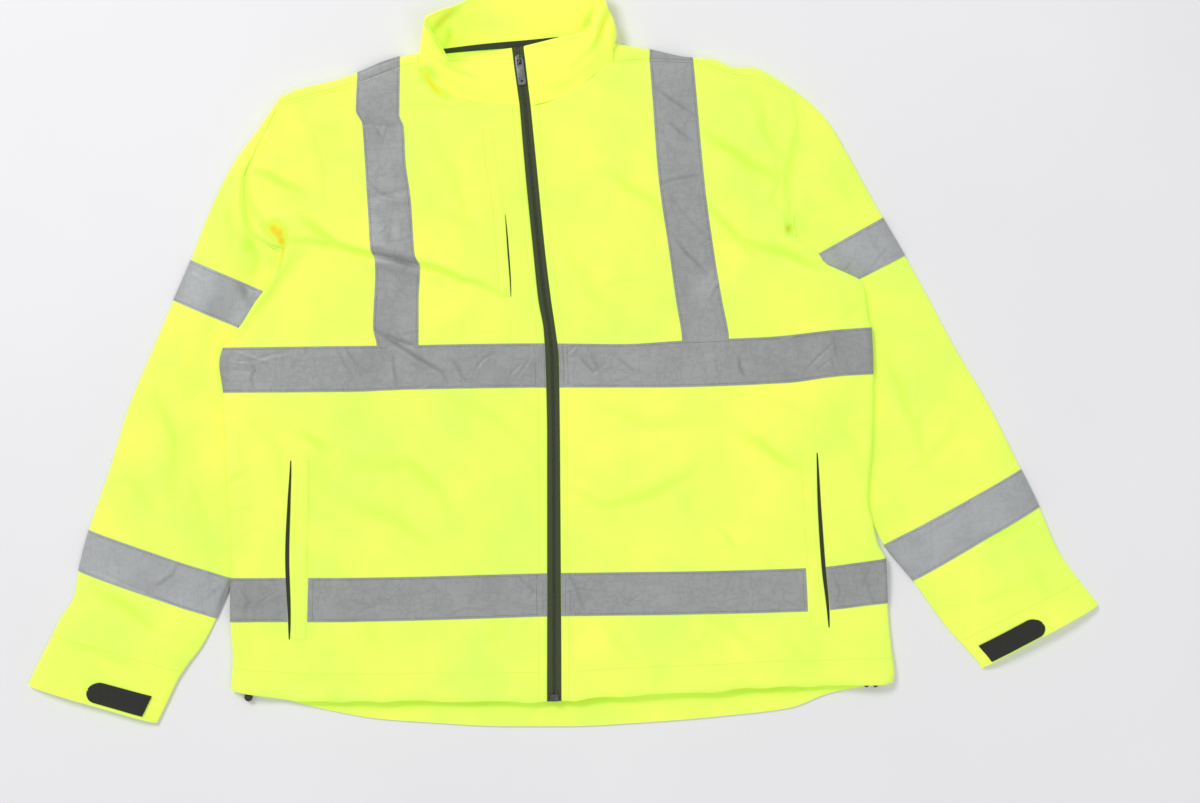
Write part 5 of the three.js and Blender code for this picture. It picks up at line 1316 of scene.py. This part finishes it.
def raised(node, grid, columns, rows, inset, thick, material):
    """A flat piece sewn on a grid, thinner at its edges."""
    piece = strip(grid, columns, rows, inset)
    inward = np.cumsum(np.linalg.norm(np.diff(piece.p, axis=1, prepend=piece.p[:, :1]), axis=2), axis=1)
    from_edge = np.minimum(inward, inward[:, -1:] - inward)
    outer = TAPE_LIFT + thick * (1 - 0.75 * rolled(from_edge, 3.5))
    return cloth_piece("sewn_" + node, node, piece, outer[..., None], TAPE_LIFT, material)


def slit(node, grid, column, ends, widths, material):
    """The dark zip that shows in a pocket's opening, widest in its middle."""
    rows = np.linspace(*ends, 160)
    share = np.linspace(-1, 1, 7)
    half = mix(*widths, np.sin(np.pi * np.linspace(0, 1, 160)) ** 0.7)
    u, v = column + half[:, None] * share[None], rows[:, None] + 0 * share[None]
    piece = Grid(np.arange(7), np.arange(160), grid.on(u, v, 0), 1)
    return cloth_piece("sewn_" + node, node, piece, TAPE_LIFT + TAPE, TAPE_LIFT, material)


on_left += [
    raised("pocket_welt_left", left_front, (5, 6), (WELT_LOW, WELT_HIGH),
           (0.02, 0.02, 0.02, 0.01), WELT, CLOTH_MATERIAL),
    slit("pocket_zip_left", left_front, 4.5, POCKET_ROWS, (0.1, 0.46), POCKET_ZIP),
    raised("chest_pocket_welt", left_front, (13, 14), (CHEST_HIGH + 2, TOP - 1),
           (0.03, 0.03, 0.01, 0.01), WELT, CLOTH_MATERIAL),
    slit("chest_pocket_zip", left_front, 14.07, (CHEST_HIGH + 1.95, CHEST_HIGH + 5.6),
         (0.012, 0.06), POCKET_ZIP)]
on_right += [
    raised("pocket_welt_right", right_front, (9, 10), (WELT_LOW, WELT_HIGH),
           (0.02, 0.02, 0.02, 0.01), WELT, CLOTH_MATERIAL),
    slit("pocket_zip_right", right_front, 10.5, POCKET_ROWS, (0.1, 0.46), POCKET_ZIP)]
neck = strip(collar, (8, 15), (0, 1), (0.02, 0.02, 0.04, 0.02))
neck_tape = cloth_piece("sewn_neck_tape", "neck_tape", neck, -COLLAR_CLOTH - TAPE_LIFT,
                        -COLLAR_CLOTH - TAPE_LIFT - TAPE, NECK_CLOTH)
zips = [cloth_piece("zip_tape_left_woven", "zip_tape_left", zip_left, 0, -ZIP_TAPE, ZIP_CLOTH),
        cloth_piece("zip_tape_right_woven", "zip_tape_right", zip_right, 0, -ZIP_TAPE, ZIP_CLOTH)]


# Cuff tabs
def cuff_tab(node, sleeve, rows, first, last):
    low, high = HEADS + rows[0], HEADS + rows[1]
    reach = np.concatenate([np.linspace(0, 0.55, 8), np.linspace(0.7, last, 24)])
    shares = np.linspace(-1, 1, 15)
    start = sleeve.at(first, (low + high) / 2)
    u = np.zeros((len(shares), len(reach)))
    v = np.zeros_like(u)
    for i, r in enumerate(reach):
        gone = min(np.linalg.norm(sleeve.at(first + r, (low + high) / 2) - start) / 11, 1)
        half = 0.5 * max(math.sqrt(1 - (1 - gone) ** 2), 0.08)
        u[:, i] = first + r
        v[:, i] = mix(low, high, 0.5 + half * shares)
    edge = 1 - np.abs(shares)[:, None] ** 6
    ends = np.ones(len(reach))
    ends[0] = ends[-1] = 0.3
    points = sleeve.at(u, v)
    normals = sleeve.at(u, v, sleeve.n)
    points = points + normals * (0.35 * edge * ends[None])[..., None]
    piece = Grid(np.arange(len(reach)), np.arange(len(shares)), points, 1)
    if piece.n[..., 2].mean() < 0:
        piece.n = -piece.n
    return cloth_piece("sewn_" + node, node, piece, 1.7, 0.5, HOOK_TAPE)


LEFT_FIRST, RIGHT_FIRST = int(left_sleeve.count) - 5, int(right_sleeve.count) - 5
on_sleeve_left.append(cuff_tab("cuff_tab_left", left_sleeve, (10, 11), LEFT_FIRST, 3.9))
on_sleeve_right.append(cuff_tab("cuff_tab_right", right_sleeve, (9, 10), RIGHT_FIRST, 4.15))


# Stitching
def stitch_row(path, normals, pitch=2.9, long=2.1, wide=0.5, high=0.36):
    """Small raised stitches along a path."""
    step = np.linalg.norm(np.diff(path, axis=0), axis=1)
    gone = np.concatenate([[0], np.cumsum(step)])
    count = int(gone[-1] / pitch)
    if count < 2:
        return np.zeros((0, 3)), np.zeros((0, 3), int)
    at = (np.arange(count) + 0.5) * gone[-1] / count
    def sample(s, field):
        return np.stack([np.interp(s, gone, field[:, k]) for k in range(3)], -1)
    middle, normal = sample(at, path), sample(at, normals)
    along = sample(at + long / 2, path) - sample(at - long / 2, path)
    along /= np.maximum(np.linalg.norm(along, axis=1, keepdims=True), 1e-9)
    normal /= np.maximum(np.linalg.norm(normal, axis=1, keepdims=True), 1e-9)
    side = np.cross(normal, along)
    corners = [middle - along * long / 2 - normal * 0.05, middle + side * wide, middle + normal * high,
               middle - side * wide, middle - normal * 0.25, middle + along * long / 2 - normal * 0.05]
    vertices = np.stack(corners, 1).reshape(-1, 3)
    shape = np.array([[0, 2, 1], [0, 3, 2], [0, 4, 3], [0, 1, 4], [5, 1, 2], [5, 2, 3], [5, 3, 4], [5, 4, 1]])
    faces = (shape[None] + 6 * np.arange(count)[:, None, None]).reshape(-1, 3)
    return vertices, faces


def stitching(name, rows, material):
    vertices, faces, total = [], [], 0
    for grid, u, v, lift in rows:
        u, v = np.broadcast_arrays(np.asarray(u, float), np.asarray(v, float))
        path = grid.on(u, v, lift)
        points, triangles = stitch_row(path, grid.at(u, v, grid.n))
        vertices.append(points)
        faces.append(triangles + total)
        total += len(points)
    obj = put(name, np.concatenate(vertices), np.concatenate(faces), material, smooth_angle=80)
    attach(obj, "jacket")
    return obj


def run(a, b, n=120):
    return np.linspace(a, b, n)


ON_TAPE = TAPE_LIFT + TAPE
left_rows, right_rows = [], []
for grid, side, rows in ((left_front, 16, left_rows), (right_front, RIGHT_SIDE_COLUMN, right_rows)):
    for low, high, edge in ((CHEST_LOW, CHEST_HIGH, 0.05), (BAND_LOW, BAND_HIGH, 0.1)):
        spans = [(0.4, side - 0.4)] if edge == 0.05 else (
            [(0.4, 3.85), (6.1, 15.6)] if side == 16 else [(0.4, 8.9), (11.2, side - 0.4)])
        for a, b in spans:
            rows.append((grid, run(a, b), low + edge, ON_TAPE))
            rows.append((grid, run(a, b), high - edge, ON_TAPE))
    brace = (8, 9) if side == 16 else (6, 7)
    rows.append((grid, run(*brace, 60), TOP - 0.004, ON_TAPE))
    rows.append((grid, run(*brace, 60), TOP - 0.1, ON_TAPE))
    for u in (brace[0] + 0.055, brace[1] - 0.055):
        rows.append((grid, u, run(CHEST_HIGH + 0.08, TOP - 0.05), ON_TAPE))
for low, high in ((CHEST_LOW, CHEST_HIGH), (BAND_LOW, BAND_HIGH)):
    left_rows.append((left_front, 15.42, run(low + 0.06, high - 0.06, 40), ON_TAPE))
    right_rows.append((right_front, 0.28, run(low + 0.06, high - 0.06, 40), ON_TAPE))
    left_rows.append((left_front, 15.78, run(low + 0.06, high - 0.06, 40), ON_TAPE))
    right_rows.append((right_front, 0.14, run(low + 0.06, high - 0.06, 40), ON_TAPE))
left_rows.append((left_front, 6.15, run(BAND_LOW + 0.1, BAND_HIGH - 0.1, 30), ON_TAPE))
right_rows.append((right_front, 8.9, run(BAND_LOW + 0.1, BAND_HIGH - 0.1, 30), ON_TAPE))
on_left.append(stitching("stitches_tape_left", left_rows, GREY_THREAD))
on_right.append(stitching("stitches_tape_right", right_rows, GREY_THREAD))
on_back.append(stitching("stitches_tape_back", [
    (back, u, run(CHEST_HIGH + 0.1, SEAM_ROW - 0.1, 200), ON_TAPE)
    for u in (8.055, 8.945, MIDDLE + 6.055, MIDDLE + 6.945)], GREY_THREAD))
for sleeve, owner, side in ((left_sleeve, on_sleeve_left, "left"), (right_sleeve, on_sleeve_right, "right")):
    top_run = run(len(sleeve.us) and sleeve.count - 12, sleeve.count - 0.6, 160)
    owner.append(stitching(f"stitches_sleeve_tape_{side}", [
        (sleeve, top_run, HEADS + row + off, ON_TAPE)
        for row, off in ((0, 0.05), (0, 0.95), (5, 0.05), (5, 0.95))], GREY_THREAD))

hem_v = 1.62
cloth_left = [
    (left_front, 15.55, run(0.3, BAND_LOW - 0.05), 0.05),
    (left_front, 15.55, run(BAND_HIGH + 0.05, CHEST_LOW - 0.05, 200), 0.05),
    (left_front, 15.55, run(CHEST_HIGH + 0.05, TOP - 0.1, 260), 0.05),
    (left_front, run(0.5, 15.6, 300), hem_v, 0.05),
    (left_front, run(0.4, 7.9), TOP - 0.12, 0.05),
    (left_front, 5.25, run(WELT_LOW + 0.05, WELT_HIGH - 0.02, 200), TAPE_LIFT + WELT),
    (left_front, 5.9, run(WELT_LOW + 0.05, BAND_LOW - 0.05, 60), TAPE_LIFT + WELT),
    (left_front, 5.9, run(BAND_HIGH + 0.05, WELT_HIGH - 0.02, 200), TAPE_LIFT + WELT),
    (left_front, 13.12, run(CHEST_HIGH + 2.05, TOP - 1.05, 200), TAPE_LIFT + WELT),
    (left_front, run(13.1, 13.9, 20), CHEST_HIGH + 2.12, TAPE_LIFT + WELT),
    (left_front, run(13.1, 13.9, 20), TOP - 1.12, TAPE_LIFT + WELT)]
cloth_right = [
    (right_front, 0.22, run(0.3, BAND_LOW - 0.05), 0.05),
    (right_front, 0.22, run(BAND_HIGH + 0.05, CHEST_LOW - 0.05, 200), 0.05),
    (right_front, 0.22, run(CHEST_HIGH + 0.05, TOP - 0.1, 260), 0.05),
    (right_front, run(0.4, RIGHT_SIDE_COLUMN - 0.6, 300), hem_v, 0.05),
    (right_front, run(7.1, RIGHT_SIDE_COLUMN - 0.4), TOP - 0.12, 0.05),
    (right_front, 9.75, run(WELT_LOW + 0.05, WELT_HIGH - 0.02, 200), TAPE_LIFT + WELT),
    (right_front, 9.1, run(WELT_LOW + 0.05, BAND_LOW - 0.05, 60), TAPE_LIFT + WELT),
    (right_front, 9.1, run(BAND_HIGH + 0.05, WELT_HIGH - 0.02, 200), TAPE_LIFT + WELT)]
on_left.append(stitching("stitches_cloth_left", cloth_left, YELLOW_THREAD))
on_right.append(stitching("stitches_cloth_right", cloth_right, YELLOW_THREAD))
collar_stitches = stitching("stitches_collar", [
    (collar, run(0.3, collar.us[-1] - 0.3, 500), collar.vs[-1] - 0.42, 0.05)], YELLOW_THREAD)
for sleeve, owner, side in ((left_sleeve, on_sleeve_left, "left"), (right_sleeve, on_sleeve_right, "right")):
    upper = run(sleeve.count - 12, sleeve.count - 0.4, 200)
    owner.append(stitching(f"stitches_cuff_{side}", [
        (sleeve, upper, HEADS + 8.55, 0.05),
        (sleeve, run(sleeve.count - 10.5, sleeve.count - 3.2, 160), 0.22, 0.05)], YELLOW_THREAD))


# Zip coil and hardware
def zip_middle(count):
    v = np.linspace(zip_left.vs[0], zip_left.vs[-1], 3000)
    path = (zip_left.at(1, v) + zip_right.at(1, v)) / 2
    gone = np.concatenate([[0], np.cumsum(np.linalg.norm(np.diff(path, axis=0), axis=1))])
    at = np.linspace(2, gone[-1] - 1, count)
    middle = np.stack([np.interp(at, gone, path[:, k]) for k in range(3)], -1)
    return middle, np.gradient(middle, axis=0)


def zip_coil():
    middle, along = zip_middle(560)
    along /= np.linalg.norm(along, axis=1, keepdims=True)
    normal = np.array([0, 0, 1.0])
    side = np.cross(along, normal)
    vertices, faces = [], []
    box = np.array([[-1, -1, -1], [1, -1, -1], [1, 1, -1], [-1, 1, -1],
                    [-0.7, -0.6, 1], [0.7, -0.6, 1], [0.7, 0.6, 1], [-0.7, 0.6, 1]])
    quads = np.array([[0, 3, 2, 1], [4, 5, 6, 7], [0, 1, 5, 4], [1, 2, 6, 5], [2, 3, 7, 6], [3, 0, 4, 7]])
    for k in range(len(middle)):
        for hand in (-1, 1):
            centre = middle[k] + side[k] * hand * 0.95 + along[k] * (0.33 if hand > 0 else 0) + normal * 0.1
            corners = centre + (box[:, :1] * side[k] * 1.05 + box[:, 1:2] * along[k] * 0.42
                                + box[:, 2:] * normal * 0.30)
            faces.append(quads + 8 * len(vertices))
            vertices.append(corners)
    obj = put("zip_coil_teeth", np.concatenate(vertices), np.concatenate(faces), COIL, smooth_angle=30)
    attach(obj, "jacket")
    return obj


zips.append(zip_coil())


def detailed(node, name, material, bevel, body="jacket"):
    """A copy of a hard piece with its edges softened."""
    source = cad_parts[node]
    mesh = source.data.copy()
    mesh.name = name
    mesh.materials.clear()
    mesh.materials.append(material)
    obj = bpy.data.objects.new(name, mesh)
    bpy.context.scene.collection.objects.link(obj)
    weld = obj.modifiers.new("weld", "WELD")
    weld.merge_threshold = 0.00002
    soft = obj.modifiers.new("bevel", "BEVEL")
    soft.width = bevel * MM
    soft.segments = 3
    soft.limit_method = "ANGLE"
    soft.angle_limit = math.radians(35)
    mesh.shade_smooth()
    mesh.set_sharp_from_angle(angle=math.radians(32))
    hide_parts(node)
    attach(obj, body)
    return obj


detailed("zip_slider", "slider_body", METAL, 0.3)
detailed("zip_pull_tab", "pull_tab_metal", DARK_METAL, 0.25, body="pull_tab")
detailed("zip_box", "zip_box_moulded", METAL, 0.3)


def turned(name, profile, centre, axis, material, segments=36):
    """A turned piece: a profile of [along, radius] round an axis."""
    axis = np.asarray(axis, float) / np.linalg.norm(axis)
    one = np.cross(axis, [0, 0, 1.0])
    one /= np.linalg.norm(one)
    two = np.cross(axis, one)
    angle = np.arange(segments) / segments * 2 * math.pi
    rings = [np.asarray(centre) + axis * a + r * (np.cos(angle)[:, None] * one + np.sin(angle)[:, None] * two)
             for a, r in profile]
    vertices = np.concatenate(rings)
    faces = []
    for j in range(len(profile) - 1):
        for i in range(segments):
            k = (i + 1) % segments
            faces.append([j * segments + i, j * segments + k, (j + 1) * segments + k, (j + 1) * segments + i])
    faces.append(list(range(segments))[::-1])
    faces.append([(len(profile) - 1) * segments + i for i in range(segments)])
    obj = put(name, vertices, faces, material, smooth_angle=40)
    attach(obj, "jacket")
    return obj


def ball_profile(radius, from_angle=-88, to_angle=88, steps=18):
    angles = np.radians(np.linspace(from_angle, to_angle, steps))
    return [[radius * math.sin(a), radius * math.cos(a)] for a in angles]


LOCK_Z = FLOOR_GAP + CLOTH + TAPE_LIFT - FLOOR_SHIFT
LEFT_LOCK = (-357.5, -386.3, LOCK_Z + 2.6)
ball_rows = [[a, r * (1 - 0.03 * math.exp(-((a / 0.5) ** 2)))] for a, r in ball_profile(4.85, -86, 86, 30)]
ball = turned("lock_ball_left", ball_rows, LEFT_LOCK, (0, 1, 0), PLASTIC)
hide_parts("cord_lock_left")
BARREL = [[3.2, 1.6], [3.4, 2.5], [6.2, 2.55], [6.5, 2.2], [7.1, 2.2], [7.4, 2.55], [10, 2.55],
          [10.3, 2.2], [10.9, 2.2], [11.2, 2.55], [13.6, 2.5], [13.9, 1.9]]
turned("lock_barrel_left", BARREL, LEFT_LOCK, (0, 1, 0), PLASTIC)
TIP = [*[[3.05 * math.sin(a), 3.05 * math.cos(a)] for a in np.radians(np.linspace(-86, 0, 10))],
       [4.4, 3.05], [4.7, 2.7], [5.4, 2.7], [5.7, 3.05], [12.6, 3.0], [12.9, 2.2]]
tips = [turned(f"lock_tip_right_{k}", TIP, (x, -372, LOCK_Z + 3.1), (0, 1, 0), PLASTIC)
        for k, x in enumerate((345.5, 355.5))]
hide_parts("cord_lock_right")
BRIDGE = [[-5, 1.1], [-4.7, 1.75], [4.7, 1.75], [5, 1.1]]
turned("lock_bridge_right", BRIDGE, (350.5, -364, LOCK_Z + 3.1), (1, 0, 0), PLASTIC)


# Floor, light, camera
def floor():
    mesh = bpy.data.meshes.new("floor")
    s = 6.0
    corners = [(x * s, y * s, -0.0002) for x, y in ((-1, -1), (1, -1), (1, 1), (-1, 1))]
    mesh.from_pydata(corners, [], [(0, 1, 2, 3)])
    material, nodes, links, out = shader("pale_floor")
    vector = coordinates(nodes, links)
    cloudy = noise(nodes, links, vector, 0.002, 3, 0.5)
    pale = ramp(nodes, links, cloudy, [(0.3, (0.80, 0.79, 0.80)), (0.7, (0.83, 0.82, 0.83))])
    links.new(pale, out.inputs["Base Color"])
    value(out, "Roughness", 0.9)
    mesh.materials.append(material)
    obj = bpy.data.objects.new("floor", mesh)
    bpy.context.scene.collection.objects.link(obj)


def area_light(name, place, look, size, energy, colour=(1, 1, 1)):
    data = bpy.data.lights.new(name, "AREA")
    data.shape = "DISK"
    data.size = size
    data.energy = energy
    data.color = colour
    obj = bpy.data.objects.new(name, data)
    bpy.context.scene.collection.objects.link(obj)
    obj.location = place
    direction = np.array(look, float) - np.array(place, float)
    yaw = math.atan2(direction[1], direction[0])
    pitch = math.acos(-direction[2] / np.linalg.norm(direction))
    obj.rotation_euler = (pitch, 0, yaw - math.pi / 2)


floor()
scene = bpy.context.scene
world = bpy.data.worlds.new("studio")
world.use_nodes = True
world.node_tree.nodes["Background"].inputs["Color"].default_value = (0.97, 0.98, 1.0, 1)
world.node_tree.nodes["Background"].inputs["Strength"].default_value = 0.60
scene.world = world
area_light("key", (-2.0, 2.2, 3.4), (0, 0, 0), 1.5, 95)
area_light("fill", (1.8, -1.4, 3.6), (0, 0, 0), 2.4, 22)
scene.view_settings.view_transform = "Standard"
scene.view_settings.look = "None"

camera_data = bpy.data.cameras.new("overhead")
camera_data.lens = 50
camera_data.sensor_width = 36
camera = bpy.data.objects.new("overhead", camera_data)
scene.collection.objects.link(camera)
camera.location = (0.0423, -0.0500, 1.901)
camera.rotation_euler = (0, 0, 0)
scene.camera = camera
